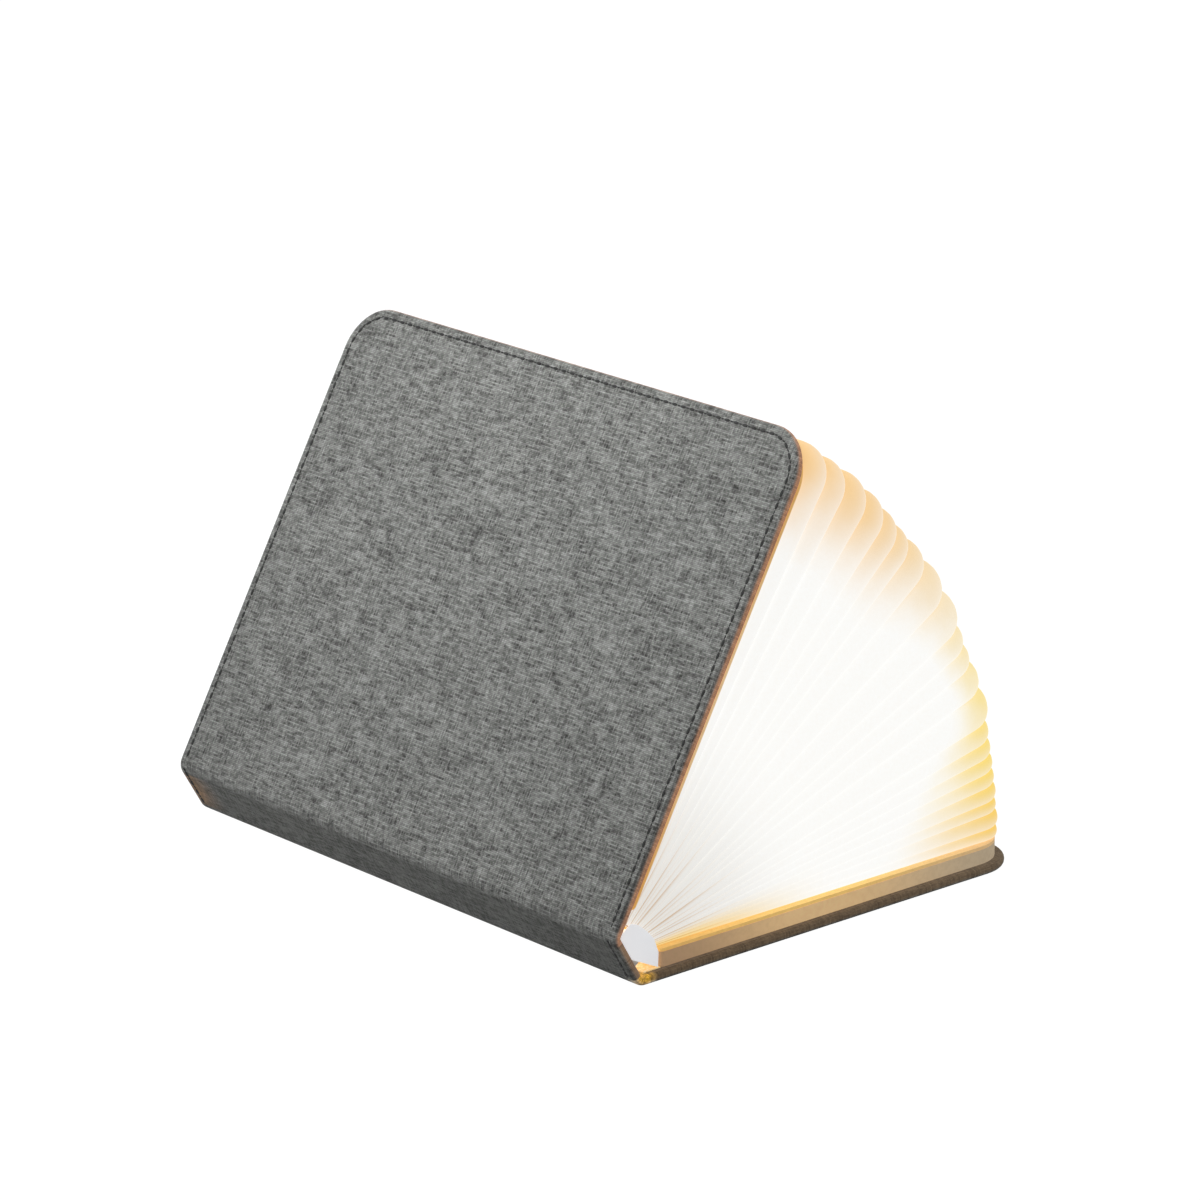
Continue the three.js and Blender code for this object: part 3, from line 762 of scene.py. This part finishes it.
def weave_uv(bm: bmesh.types.BMesh, across: Measure, depth: Measure) -> None:
    """Lay UVs in millimetres, so that the weave runs on from one piece of the cloth to the next.

    Args:
        bm: the shape in its own flat frame, Y along the book.
        across: place of a point round the book, across the weave, in metres.
        depth: its depth under the outer face, in metres.
    """
    layer = bm.loops.layers.uv.new("cloth")
    for face in bm.faces:
        at_end = abs(face.normal.y) > STEEP
        at_fore_edge = not at_end and abs(face.normal.x) > STEEP
        for loop in face.loops:
            at = loop.vert.co
            u = at.y + depth(at) * at_end
            v = across(at) + depth(at) * at_fore_edge
            loop[layer].uv = (u / MM, v / MM)


@dataclass
class ClothBinding:
    """The book cloth: two covers, the spine and the two folds between them."""

    finishes: Finishes
    book: Book = BOOK
    edge_round: float = 1.3 * MM
    edge_steps: int = 5
    corner_steps: int = 12
    fold_steps: int = 14

    def slab(self, start: float, end: float, corner: float) -> bmesh.types.BMesh:
        """Make a wrapped board, flat, with round fore-edge corners and soft edges.

        Args:
            start: its edge at the crease.
            end: its far edge.
            corner: radius of the two corners there, or nothing for square ones.

        Returns:
            The shape, X across, Y along the spine and Z through it.
        """
        bm = bmesh.new()
        half = self.book.length / 2
        outline = ((start, -half), (end, -half), (end, half), (start, half))
        ring = [bm.verts.new((x, y, 0)) for x, y in outline]
        face = bm.faces.new(ring)
        if corner > 0:
            bevel = {"segments": self.corner_steps, "affect": "VERTICES", **BEVEL}
            bmesh.ops.bevel(bm, geom=ring[1:3], offset=corner, **bevel)
            bm.faces.ensure_lookup_table()
            face = bm.faces[0]
        extrude(bm, face, (0, 0, self.book.board))
        joins = [((start, 0, 0), (1, 0, 0))] + [((end, 0, 0), (1, 0, 0))] * (corner == 0)
        self.soften(bm, 2, joins)
        return bm

    def soften(self, bm: bmesh.types.BMesh, axis: int, joins: list[Plane]) -> None:
        """Round over the edges where the cloth wraps a board and turn the faces outwards.

        Args:
            bm: the shape.
            axis: number of the axis that the wrapped edges run square to.
            joins: a point and the normal of each plane where the cloth runs on to the next piece.
        """
        edges = [
            edge
            for edge in bm.edges
            if runs_square_to(edge, axis) and not any(lies_in(edge, *plane) for plane in joins)
        ]
        bevel = {"segments": self.edge_steps, "affect": "EDGES", **BEVEL}
        bmesh.ops.bevel(bm, geom=edges, offset=self.edge_round, **bevel)
        bmesh.ops.recalc_face_normals(bm, faces=bm.faces)

    def measure_depth(self, bm: bmesh.types.BMesh, depth_of: Measure) -> None:
        """Smooth the shape and store how deep each vertex lies under the outer face, 0 to 1.

        Args:
            bm: the shape in its own flat frame.
            depth_of: depth of a point of that frame, in metres.
        """
        layer = bm.verts.layers.float.new("depth")
        for vert in bm.verts:
            vert[layer] = min(1.0, max(0.0, depth_of(vert.co) / self.book.board))
        for face in bm.faces:
            narrow = min(edge.calc_length() for edge in face.edges) < self.book.board / 2
            face.smooth = narrow and len(face.verts) == 4

    @property
    def arc(self) -> float:
        """Length of the cloth round one fold."""
        bend = math.pi / 2 - self.book.hinge
        return self.book.setback / math.tan(bend / 2) * bend

    def start_of(self, side: Side) -> float:
        """Find where a cover's flat cloth starts, round the book from the start of the back cover's."""
        if side is Side.BACK:
            return 0.0
        return -2 * self.arc - (self.book.spine - 2 * self.book.setback)

    def cloth_of(self, side: Side) -> bpy.types.Material:
        """Choose a cover's cloth: the front one's edge lies right above the lit pages."""
        return self.finishes.cloth if side is Side.BACK else self.finishes.cloth_lit

    def cover(self, side: Side) -> None:
        """Make one cover's cloth and set it on its board.

        Args:
            side: the cover.
        """
        bm = self.slab(self.book.setback, self.book.width, self.book.corner)
        start, sign = self.start_of(side), 1 if side is Side.BACK else -1
        weave_uv(bm, lambda at: start + sign * (at.x - self.book.setback), lambda at: at.z)
        self.measure_depth(bm, lambda at: at.z)
        bm.transform(self.book.cover_place(side))
        name = side.value + "_cover"
        piece = finished(bm, name + "_linen", "book_cloth", self.cloth_of(side))
        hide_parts(name + "_cloth")
        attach(piece, name)

    def spine(self) -> None:
        """Make the spine's cloth."""
        bm = self.slab(self.book.setback, self.book.spine - self.book.setback, 0.0)
        weave_uv(bm, lambda at: -self.arc - (at.x - self.book.setback), lambda at: at.z)
        self.measure_depth(bm, lambda at: at.z)
        bm.transform(self.book.spine_place())
        piece = finished(bm, "spine_linen", "book_cloth", self.finishes.cloth_spine)
        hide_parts("spine_cloth")
        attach(piece, "spine")

    def fold(self, side: Side) -> None:
        """Make the cloth that bends over one hinge.

        Args:
            side: the cover that it joins to the spine.
        """
        reach = self.book.setback
        bend = math.pi / 2 - self.book.hinge
        radius = reach / math.tan(bend / 2)
        c, s = math.cos(self.book.hinge), math.sin(self.book.hinge)
        thick = self.book.board
        half = self.book.length / 2
        bm = bmesh.new()
        section = []
        for i in range(self.fold_steps + 1):
            turn = -math.pi / 2 - bend * i / self.fold_steps
            section.append((reach + radius * math.cos(turn), radius + radius * math.sin(turn)))
        section.append((-reach * s + thick * c, reach * c + thick * s))
        section.append(((thick - thick * s) / c, thick))
        section.append((reach, thick))
        face = bm.faces.new([bm.verts.new((x, -half, z)) for x, z in section])
        extrude(bm, face, (0, self.book.length, 0))
        self.soften(bm, 1, [((reach, 0, 0), (1, 0, 0)), ((-reach * s, 0, reach * c), (-s, 0, c))])
        start, sign = self.start_of(side), 1 if side is Side.BACK else -1
        centre = Vector((reach, 0, radius))

        def depth(at: Vector) -> float:
            """Measure how deep a point lies under the fold's outer face."""
            return radius - (Vector((at.x, 0, at.z)) - centre).length

        def across(at: Vector) -> float:
            """Measure a point's place round the book."""
            return start - sign * radius * math.atan2(reach - at.x, radius - at.z)

        weave_uv(bm, across, depth)
        self.measure_depth(bm, depth)
        for face in bm.faces:
            middle = face.calc_center_median()
            in_gutter = middle.z > thick * 0.9 and middle.x > -reach
            if in_gutter and abs(face.normal.y) < SHALLOW:
                face.material_index = 1
        place = self.book.cover_place(side)
        bm.transform(place)
        name = side.value + "_hinge"
        piece = finished(bm, name + "_linen", "book_cloth", self.cloth_of(side), self.finishes.cloth_gutter)
        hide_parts(name + "_cloth")
        at_cover, at_spine = place @ Vector((reach, 0, 0)), place @ Vector((-reach * s, 0, reach * c))
        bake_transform(piece, side.value + "_cover", "spine", at_cover, at_spine)

    def build(self) -> None:
        """Make all five pieces of cloth."""
        for side in Side:
            self.cover(side)
            self.fold(side)
        self.spine()


@dataclass
class Stitching:
    """Rows of lockstitch round the covers and over the ends of the spine."""

    finishes: Finishes
    book: Book = BOOK
    pitch: float = 4 * MM
    dash: float = 2.5 * MM
    thread: float = 1.05 * MM
    sunk_thread: float = 0.5 * MM
    inset: float = 3.1 * MM
    corner_steps: int = 8

    @staticmethod
    def stitch(bm: bmesh.types.BMesh, at: Vector, heading: float, length: float, thickness: float) -> None:
        """Add one stitch to a flat row.

        Args:
            bm: the row.
            at: the stitch's middle.
            heading: its direction in the XY plane.
            length: its length.
            thickness: the thread's thickness where it shows.
        """
        turn = Matrix.Rotation(heading, 4, "Z")
        size = Matrix.Diagonal((length / 2, thickness / 2, thickness / 2, 1.0))
        place = Matrix.Translation(at) @ turn @ size @ Matrix.Rotation(math.pi / 2, 4, "Y")
        bmesh.ops.create_uvsphere(bm, u_segments=6, v_segments=5, radius=1.0, matrix=place)

    def along(self, bm: bmesh.types.BMesh, points: list[Vector]) -> None:
        """Lay stitches at the thread's pitch along a line.

        Args:
            bm: the row.
            points: the line's points.
        """
        left = self.pitch / 2
        for a, b in zip(points, points[1:]):
            span = (b - a).length
            way = (b - a) / span
            heading = math.atan2(way.y, way.x)
            while left <= span:
                at = a.lerp(b, left / span)
                self.stitch(bm, at, heading, self.dash, self.thread)
                self.stitch(bm, at + way * self.pitch / 2, heading, self.pitch - self.dash, self.sunk_thread)
                left += self.pitch
            left -= span

    def cover_line(self) -> list[Vector]:
        """Line round a cover from the crease at the tail to the crease at the head."""
        half = self.book.length / 2 - self.inset
        end = self.book.width - self.inset
        radius = self.book.corner - self.inset
        line = [Vector((self.book.setback, -half, 0))]
        for y, first in ((-half + radius, -90), (half - radius, 0)):
            for i in range(self.corner_steps + 1):
                turn = math.radians(first + 90 * i / self.corner_steps)
                x = end - radius + radius * math.cos(turn)
                line.append(Vector((x, y + radius * math.sin(turn), 0)))
        return line + [Vector((self.book.setback, half, 0))]

    def sew(self, body: str, place: Matrix, *lines: list[Vector]) -> None:
        """Stitch lines on one body.

        Args:
            body: the body's name.
            place: place of the flat rows.
            *lines: the rows' lines.
        """
        bm = bmesh.new()
        for line in lines:
            self.along(bm, line)
        for face in bm.faces:
            face.smooth = True
        bm.transform(place)
        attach(finished(bm, body + "_stitching", "book_cloth", self.finishes.thread), body)

    def build(self) -> None:
        """Make the stitches of both covers and of the spine."""
        for side in Side:
            self.sew(side.value + "_cover", self.book.cover_place(side), self.cover_line())
        half = self.book.length / 2 - self.inset
        ends = (self.book.setback, self.book.spine - self.book.setback)
        lines = ([Vector((x, y, 0)) for x in ends] for y in (-half, half))
        self.sew("spine", self.book.spine_place(), *lines)


class Stretch(Enum):
    """Stretches of a leaf's free edge, in their order from the hub round to the hub."""

    NEAR_END = 0
    NEAR_CORNER = 1
    RIM = 2
    FAR_CORNER = 3
    FAR_END = 4


Station = tuple[Stretch, float]


@dataclass
class PageFan:
    """The pleated paper fan: twenty leaves and the pillowed pockets between them.

    The shares are the pockets' parts of the opening, from the back cover to the front one. Each leaf hangs
    from the crease of the cover that it lies nearer to, and back_bottom and front_bottom are the heights of
    the outermost leaves over those covers' outer faces. The fan's axis lies axis_depth inside the spine.
    radius, less shortfall at both covers, is the leaves' reach from the axis, and root is where they start.
    bulge is how far a pocket's skin swells past its leaves, in half widths. A skin ends in a flange behind
    the next one, and near the hub, up to lap_end, the flange laps over sideways by up to lap. bend and
    crest_bend are where along a leaf a bend is measured. fold_play and play_rate make the painted shade
    lines along the folds differ in strength: the mean and swing of a sine, and its rates by leaf and across
    the pocket.
    """

    finishes: Finishes
    book: Book = BOOK
    shares: tuple[float, ...] = (
        1.3, 1.8, 1.4, 1.8, 1.7, 1.8, 1.9, 2.3, 4, 3.4, 2.5, 2.8, 4.6, 4.6, 3.6, 2.7, 3, 3.6, 4, 3.5, 4.1,
    )
    axis_depth: float = 5 * MM
    back_bottom: float = 9.08 * MM
    front_bottom: float = 5.98 * MM
    radius: float = 158.4 * MM
    shortfall: float = 2.6 * MM
    root: float = 6.1 * MM
    corner: float = 8 * MM
    inset: float = 5.2 * MM
    bulge: float = 0.55
    flange: float = 1.8 * MM
    lap: float = 4.5 * MM
    lap_end: float = 120 * MM
    bend: float = 110 * MM
    crest_bend: float = 60 * MM
    sheet: float = 0.15 * MM
    crowding: float = 1.5
    fold_play: Pair = (0.55, 0.45)
    play_rate: Pair = (2.4, 1.1)
    run_steps: int = 16
    corner_steps: int = 8
    rim_steps: int = 12
    across_steps: int = 12
    angles: list[float] = field(default_factory=list)

    def __post_init__(self) -> None:
        """Work out each leaf's angle from the back cover."""
        total = sum(self.shares)
        self.angles = [0.0]
        for share in self.shares:
            self.angles.append(self.angles[-1] + self.book.opening * share / total)

    @property
    def last(self) -> int:
        """Number of the leaf on the front cover."""
        return len(self.angles) - 1

    def low(self, leaf: int) -> bool:
        """Tell whether a leaf hangs from the back crease, by its number."""
        return self.angles[leaf] < self.book.hinge

    def body(self, leaf: int) -> str:
        """Name the body that carries a leaf, by its number."""
        return {0: "back_cover", self.last: "front_cover"}.get(leaf, f"page_{leaf:02d}")

    def turn(self, leaf: int) -> float:
        """Measure the angle of a leaf from its own cover, by its number."""
        return self.angles[leaf] if self.low(leaf) else self.book.opening - self.angles[leaf]

    def height(self, leaf: int) -> float:
        """Measure how high a leaf lies over its own cover's outer face in the shut book, by its number."""
        pitch = (self.book.spine - self.back_bottom - self.front_bottom) / self.last
        if self.low(leaf):
            return self.back_bottom + pitch * leaf
        return self.front_bottom + pitch * (self.last - leaf)

    def place(self, leaf: int) -> Matrix:
        """Find the place of a leaf: X out along it from its crease, Y along the spine, Z up to the front.

        Args:
            leaf: the leaf.

        Returns:
            The matrix from the leaf's own frame to the row frame.
        """
        low = self.low(leaf)
        crease = self.book.back_crease if low else self.book.front_crease
        rise = self.height(leaf) if low else -self.height(leaf)
        rotation = Matrix.Rotation(-self.angles[leaf], 4, "Y")
        return Matrix.Translation(crease) @ rotation @ Matrix.Translation((0, 0, rise))

    def spread(self, leaf: int, other: int) -> Callable[[float], float]:
        """Half the width of the pocket between two leaves, by the distance along the first.

        Args:
            leaf: the leaf that it is measured from.
            other: its neighbour.

        Returns:
            A function from the distance to half the width.
        """
        if self.low(leaf) != self.low(other):
            turn = (self.book.opening - self.turn(leaf) - self.turn(other)) / 2
            apart = self.book.spine * math.cos(self.book.hinge - self.turn(other))
            meeting = (self.height(leaf) - self.height(other) + apart) / 2 / math.cos(turn) ** 2
        else:
            turn = abs(self.turn(other) - self.turn(leaf)) / 2
            meeting = (self.height(leaf) + self.height(other)) / 2 / math.cos(turn) ** 2
        base = abs(meeting - self.height(leaf))
        return lambda x: base + x * math.tan(turn)

    def hub_distance(self, leaf: int) -> float:
        """Measure how far along a leaf the fan's axis lies, by the leaf's number."""
        lean = self.book.hinge - self.turn(leaf)
        return self.axis_depth * math.cos(lean) - self.book.spine / 2 * math.sin(lean)

    def reach(self, leaf: int) -> float:
        """Measure the distance along a leaf to its rim, by its number."""
        middle = 1 - self.turn(leaf) / self.book.hinge
        return self.hub_distance(leaf) + self.radius - self.shortfall * (1 - middle * middle)

    def stations(self) -> list[Station]:
        """Places round a pocket's edge, crowded towards the hub."""
        run, corner, rim = self.run_steps, self.corner_steps, self.rim_steps
        places = [(Stretch.NEAR_END, (i / run) ** self.crowding) for i in range(run)]
        places += [(Stretch.NEAR_CORNER, i / corner) for i in range(corner)]
        places += [(Stretch.RIM, i / rim) for i in range(rim)]
        places += [(Stretch.FAR_CORNER, i / corner) for i in range(corner)]
        return places + [(Stretch.FAR_END, 1 - (1 - i / run) ** self.crowding) for i in range(run + 1)]

    def edge_point(self, leaf: int, station: Station) -> Triple:
        """Find a place on a leaf's free edge.

        Args:
            leaf: the leaf.
            station: a stretch of the edge and how far along it.

        Returns:
            Its X and Y on the leaf, and the direction in which the edge faces.
        """
        stretch, share = station
        half = self.book.length / 2 - self.inset
        start = self.hub_distance(leaf) + self.root
        end = self.reach(leaf)
        straight = end - self.corner
        if stretch is Stretch.RIM:
            return end, (half - self.corner) * (2 * share - 1), 0.0
        near = stretch in (Stretch.NEAR_END, Stretch.NEAR_CORNER)
        sign = -1 if near else 1
        if stretch in (Stretch.NEAR_END, Stretch.FAR_END):
            along = share if near else 1 - share
            return start + (straight - start) * along, sign * half, sign * math.pi / 2
        turn = math.pi / 2 * (share - near)
        middle = sign * (half - self.corner)
        return straight + self.corner * math.cos(turn), middle + self.corner * math.sin(turn), turn

    def skin_point(self, leaf: int, other: int, station: Station, across: float) -> Vector:
        """Find a point on the pillow that springs from one leaf towards its neighbour.

        Args:
            leaf: the leaf.
            other: the neighbour.
            station: place on the leaf's edge.
            across: place across the pocket, 0 at the leaf to 1 at the neighbour.

        Returns:
            The point.
        """
        x, y, facing = self.edge_point(leaf, station)
        half_width = self.spread(leaf, other)(x)
        swing = math.pi * across
        out = half_width * self.bulge * math.sin(swing)
        rise = half_width * (1 - math.cos(swing)) * (1 if other > leaf else -1)
        return self.place(leaf) @ Vector((x + out * math.cos(facing), y + out * math.sin(facing), rise))

    def flange_point(self, leaf: int, other: int, station: Station) -> Vector:
        """Find a point inside a leaf's free edge, where a pocket's skin runs on behind the next pocket.

        Args:
            leaf: the leaf.
            other: the leaf on the pocket's other side.
            station: place on the leaf's edge.

        Returns:
            The point. Near the hub it laps far over, so that no slit opens there when the book lies flat.
        """
        x, y, facing = self.edge_point(leaf, station)
        aside = self.lap * max(0.0, 1 - x / self.lap_end) * (-1 if other > leaf else 1)
        inward = Vector((math.cos(facing), math.sin(facing), 0)) * -self.flange
        return self.place(leaf) @ (Vector((x, y, aside)) + inward)

    def pocket(self, low: int, first: float, last: float, name: str) -> bpy.types.Object:
        """Make the skin of one pocket, or of half of it.

        Args:
            low: number of the leaf below it.
            first: where the skin starts across the pocket, from 0 at the lower leaf.
            last: where it ends, up to 1 at the upper leaf.
            name: the piece's name.

        Returns:
            The piece, not yet bound to a body.
        """
        stations = self.stations()
        upper = low + 1
        lowest, highest = self.angles[low], self.angles[upper]
        play, swing = self.fold_play
        by_leaf, by_place = self.play_rate
        steps = max(2, round(self.across_steps * (last - first)))
        flanges = (first == 0.0, last == 1.0)
        rows = [first + (last - first) * i / steps for i in range(steps + 1)]
        rows = [-1.0] * flanges[0] + rows + [2.0] * flanges[1]
        bm = bmesh.new()
        layers = bm.verts.layers.float
        level_layer, rim_layer, play_layer = (layers.new(key) for key in ("level", "rim", "play"))
        uv = bm.loops.layers.uv.new("pocket")
        bmesh.ops.create_grid(bm, x_segments=len(stations) - 1, y_segments=len(rows) - 1, size=1.0)
        order = sorted(bm.verts, key=lambda vert: (round(vert.co.y, 6), round(vert.co.x, 6)))
        seat: dict[bmesh.types.BMVert, tuple[float, float]] = {}
        for index, vert in enumerate(order):
            row, station = rows[index // len(stations)], stations[index % len(stations)]
            across = min(max(row, 0.0), 1.0)
            if row < 0:
                vert.co = self.flange_point(low, upper, station)
            elif row > 1:
                vert.co = self.flange_point(upper, low, station)
            else:
                weight = across * across * (3 - 2 * across)
                below = self.skin_point(low, upper, station, across)
                above = self.skin_point(upper, low, station, 1 - across)
                vert.co = below.lerp(above, weight)
            x, _, facing = self.edge_point(low, station)
            vert[level_layer] = (lowest + across * (highest - lowest)) / self.book.opening
            vert[rim_layer] = max(0.0, math.cos(facing))
            # The play attribute sets how strong the paper's painted shade lines at the folds are.
            vert[play_layer] = play + swing * math.sin(low * by_leaf + across * by_place)
            seat[vert] = (x / self.reach(low), across)
        for face in bm.faces:
            face.smooth = True
            for loop in face.loops:
                loop[uv].uv = seat[loop.vert]
        for edge in bm.edges:
            edge.smooth = not all(seat[vert][1] in (0.0, 1.0) for vert in edge.verts)
        bmesh.ops.recalc_face_normals(bm, faces=bm.faces)
        bm.faces.ensure_lookup_table()
        middle = bm.faces[len(bm.faces) // 2]
        if middle.normal.dot(middle.calc_center_median() - self.book.back_crease) < 0:
            bmesh.ops.reverse_faces(bm, faces=bm.faces)
        bmesh.ops.solidify(bm, geom=bm.faces, thickness=self.sheet)
        return finished(bm, name, "page_paper", self.finishes.paper)

    def leaf_point(self, leaf: int, distance: float, rise: float = 0.0) -> Vector:
        """Find a point from which a bend is measured.

        Args:
            leaf: the leaf's number.
            distance: how far along the leaf it lies.
            rise: how far over the leaf it lies.

        Returns:
            The point in the frame.
        """
        return self.place(leaf) @ Vector((distance, 0, rise))

    @staticmethod
    def lift(angle: float) -> Vector:
        """Find the direction at right angles to a leaf at an angle, towards the front cover."""
        return Matrix.Rotation(-angle, 4, "Y") @ Vector((0, 0, 1))

    def bind(self, piece: bpy.types.Object, low: int, first: float, last: float) -> None:
        """Let a pocket's skin bend between the two leaves that hold it.

        Args:
            piece: the skin.
            low: number of the leaf below it.
            first: where the skin starts across the pocket.
            last: where it ends.
        """
        upper = low + 1
        start = self.leaf_point(low, self.bend)
        if low == 0 or upper == self.last:
            side = Side.BACK if low == 0 else Side.FRONT
            leaf, edge = (upper, low) if low == 0 else (low, upper)
            start = self.leaf_point(edge, self.bend)
            across = self.lift(self.angles[leaf]) * (leaf - edge)
            width = (self.leaf_point(leaf, self.bend) - start).dot(across)
            # The bend's weight is a smooth step, so the leaf lies where that step has reached its share.
            share = self.turn(leaf) / self.book.hinge
            part = 0.5 - math.sin(math.asin(1 - 2 * share) / 3)
            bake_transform(piece, side.value + "_cover", "spine", start, start + across * width / part)
        elif first == 0.0 and last == 1.0:
            across = self.lift((self.angles[low] + self.angles[upper]) / 2)
            width = (self.leaf_point(upper, self.bend) - start).dot(across)
            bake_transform(piece, self.body(low), self.body(upper), start, start + across * width)
        elif last < 1.0:
            rise = self.spread(low, upper)(self.crest_bend)
            start, end = (self.leaf_point(low, self.crest_bend, height) for height in (0.0, rise))
            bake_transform(piece, self.body(low), "spine", start, end)
        else:
            rise = self.spread(upper, low)(self.crest_bend)
            start, end = (self.leaf_point(upper, self.crest_bend, height) for height in (-rise, 0.0))
            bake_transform(piece, "spine", self.body(upper), start, end)

    def build(self) -> None:
        """Make the skin of every pocket and hide the leaves it stands for."""
        for low in range(self.last):
            split = self.low(low) and not self.low(low + 1)
            parts = ((0.0, 0.5, "_lower"), (0.5, 1.0, "_upper")) if split else ((0.0, 1.0, ""),)
            for first, last, suffix in parts:
                piece = self.pocket(low, first, last, f"page_pleat_{low + 1:02d}{suffix}")
                self.bind(piece, low, first, last)
                leaves = [low] + [self.last] * (low + 1 == self.last)
                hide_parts(*(f"page_leaf_{leaf:02d}" for leaf in leaves))


@dataclass(frozen=True)
class Studio:
    """White sweep, soft lamps and the camera. Each lamp has a name, a place, a side in metres and watts."""

    lens_mm: float = 173.9
    film_mm: float = 36.0
    azimuth: float = math.radians(-40.71)
    elevation: float = math.radians(17.55)
    roll: float = math.radians(-0.43)
    eye: Triple = (-1.1420, -1.3240, 0.6321)
    aim: Triple = (0.0, 0.0, 0.06)
    lamps: tuple[tuple[str, Triple, float, float], ...] = (
        ("key_lamp", (-0.24, 0.02, 0.36), 0.25, 1.25),
        ("wide_lamp", (-1.0, -0.7, 1.5), 1.2, 3.0),
        ("side_lamp", (-0.6, 0.5, 0.12), 0.25, 0.7),
        ("fill_lamp", (1.4, -1.2, 0.9), 1.4, 4.0),
    )
    ambient: float = 0.2
    floor_tone: str = "#787877"
    floor_seen_tone: str = "#1A1A1A"
    floor_half: float = 6.0
    floor_gap: float = 0.3 * MM

    def camera(self) -> None:
        """Set the camera where the photograph was taken from."""
        data = bpy.data.cameras.new("camera")
        data.lens = self.lens_mm
        data.sensor_width = self.film_mm
        camera = bpy.data.objects.new("camera", data)
        turn = Matrix.Rotation(self.azimuth, 4, "Z") @ Matrix.Rotation(math.pi / 2 - self.elevation, 4, "X")
        camera.matrix_world = Matrix.Translation(self.eye) @ turn @ Matrix.Rotation(self.roll, 4, "Z")
        bpy.context.scene.collection.objects.link(camera)
        bpy.context.scene.camera = camera

    def lamp(self, name: str, at: Triple, size: float, power: float) -> None:
        """Hang a square soft lamp that faces the book.

        Args:
            name: the lamp's name.
            at: its place.
            size: its side.
            power: its power in watts.
        """
        data = bpy.data.lights.new(name, "AREA")
        data.size = size
        data.energy = power
        lamp = bpy.data.objects.new(name, data)
        lamp.location = at
        lamp.rotation_euler = (Vector(self.aim) - Vector(at)).to_track_quat("-Z", "Y").to_euler()
        bpy.context.scene.collection.objects.link(lamp)

    def world(self) -> None:
        """Make the surroundings white to the camera and in reflections, and a soft light elsewhere."""
        world = bpy.data.worlds.new("studio_white")
        world.use_nodes = True
        nodes = Nodes(world.node_tree)
        background = world.node_tree.nodes["Background"].inputs
        level = nodes.node("MapRange", {"Value": nodes.seen(), "To Min": self.ambient, "To Max": 1.0})
        nodes.fill(background["Color"], WHITE)
        nodes.fill(background["Strength"], level.outputs[0])
        bpy.context.scene.world = world

    def floor(self) -> None:
        """Lay a pale floor that looks white to the camera and keeps a faint shadow."""
        paint = Finish("studio_floor_paint", 0.9)
        seen = paint.seen()
        paint.feed("Base Color", paint.mix(seen, linear(self.floor_tone), linear(self.floor_seen_tone)))
        paint.glow(WHITE, seen)
        bm = bmesh.new()
        bmesh.ops.create_grid(bm, x_segments=1, y_segments=1, size=self.floor_half)
        bmesh.ops.translate(bm, verts=bm.verts, vec=(0, 0, -self.floor_gap))
        mesh = bpy.data.meshes.new("studio_floor")
        bm.to_mesh(mesh)
        bm.free()
        mesh.materials.append(paint.material)
        floor = bpy.data.objects.new("studio_floor", mesh)
        bpy.context.scene.collection.objects.link(floor)

    def build(self) -> None:
        """Set up the whole studio."""
        bpy.context.scene.view_settings.view_transform = "Standard"
        self.camera()
        self.world()
        self.floor()
        for lamp in self.lamps:
            self.lamp(*lamp)


def main() -> None:
    """Build the lamp and its studio in order."""
    logging.basicConfig(level=logging.INFO, format="%(name)s %(message)s")
    Studio().build()
    finishes = Finishes()
    finishes.dress()
    ClothBinding(finishes).build()
    Stitching(finishes).build()
    PageFan(finishes).build()


if __name__ == "__main__":
    main()
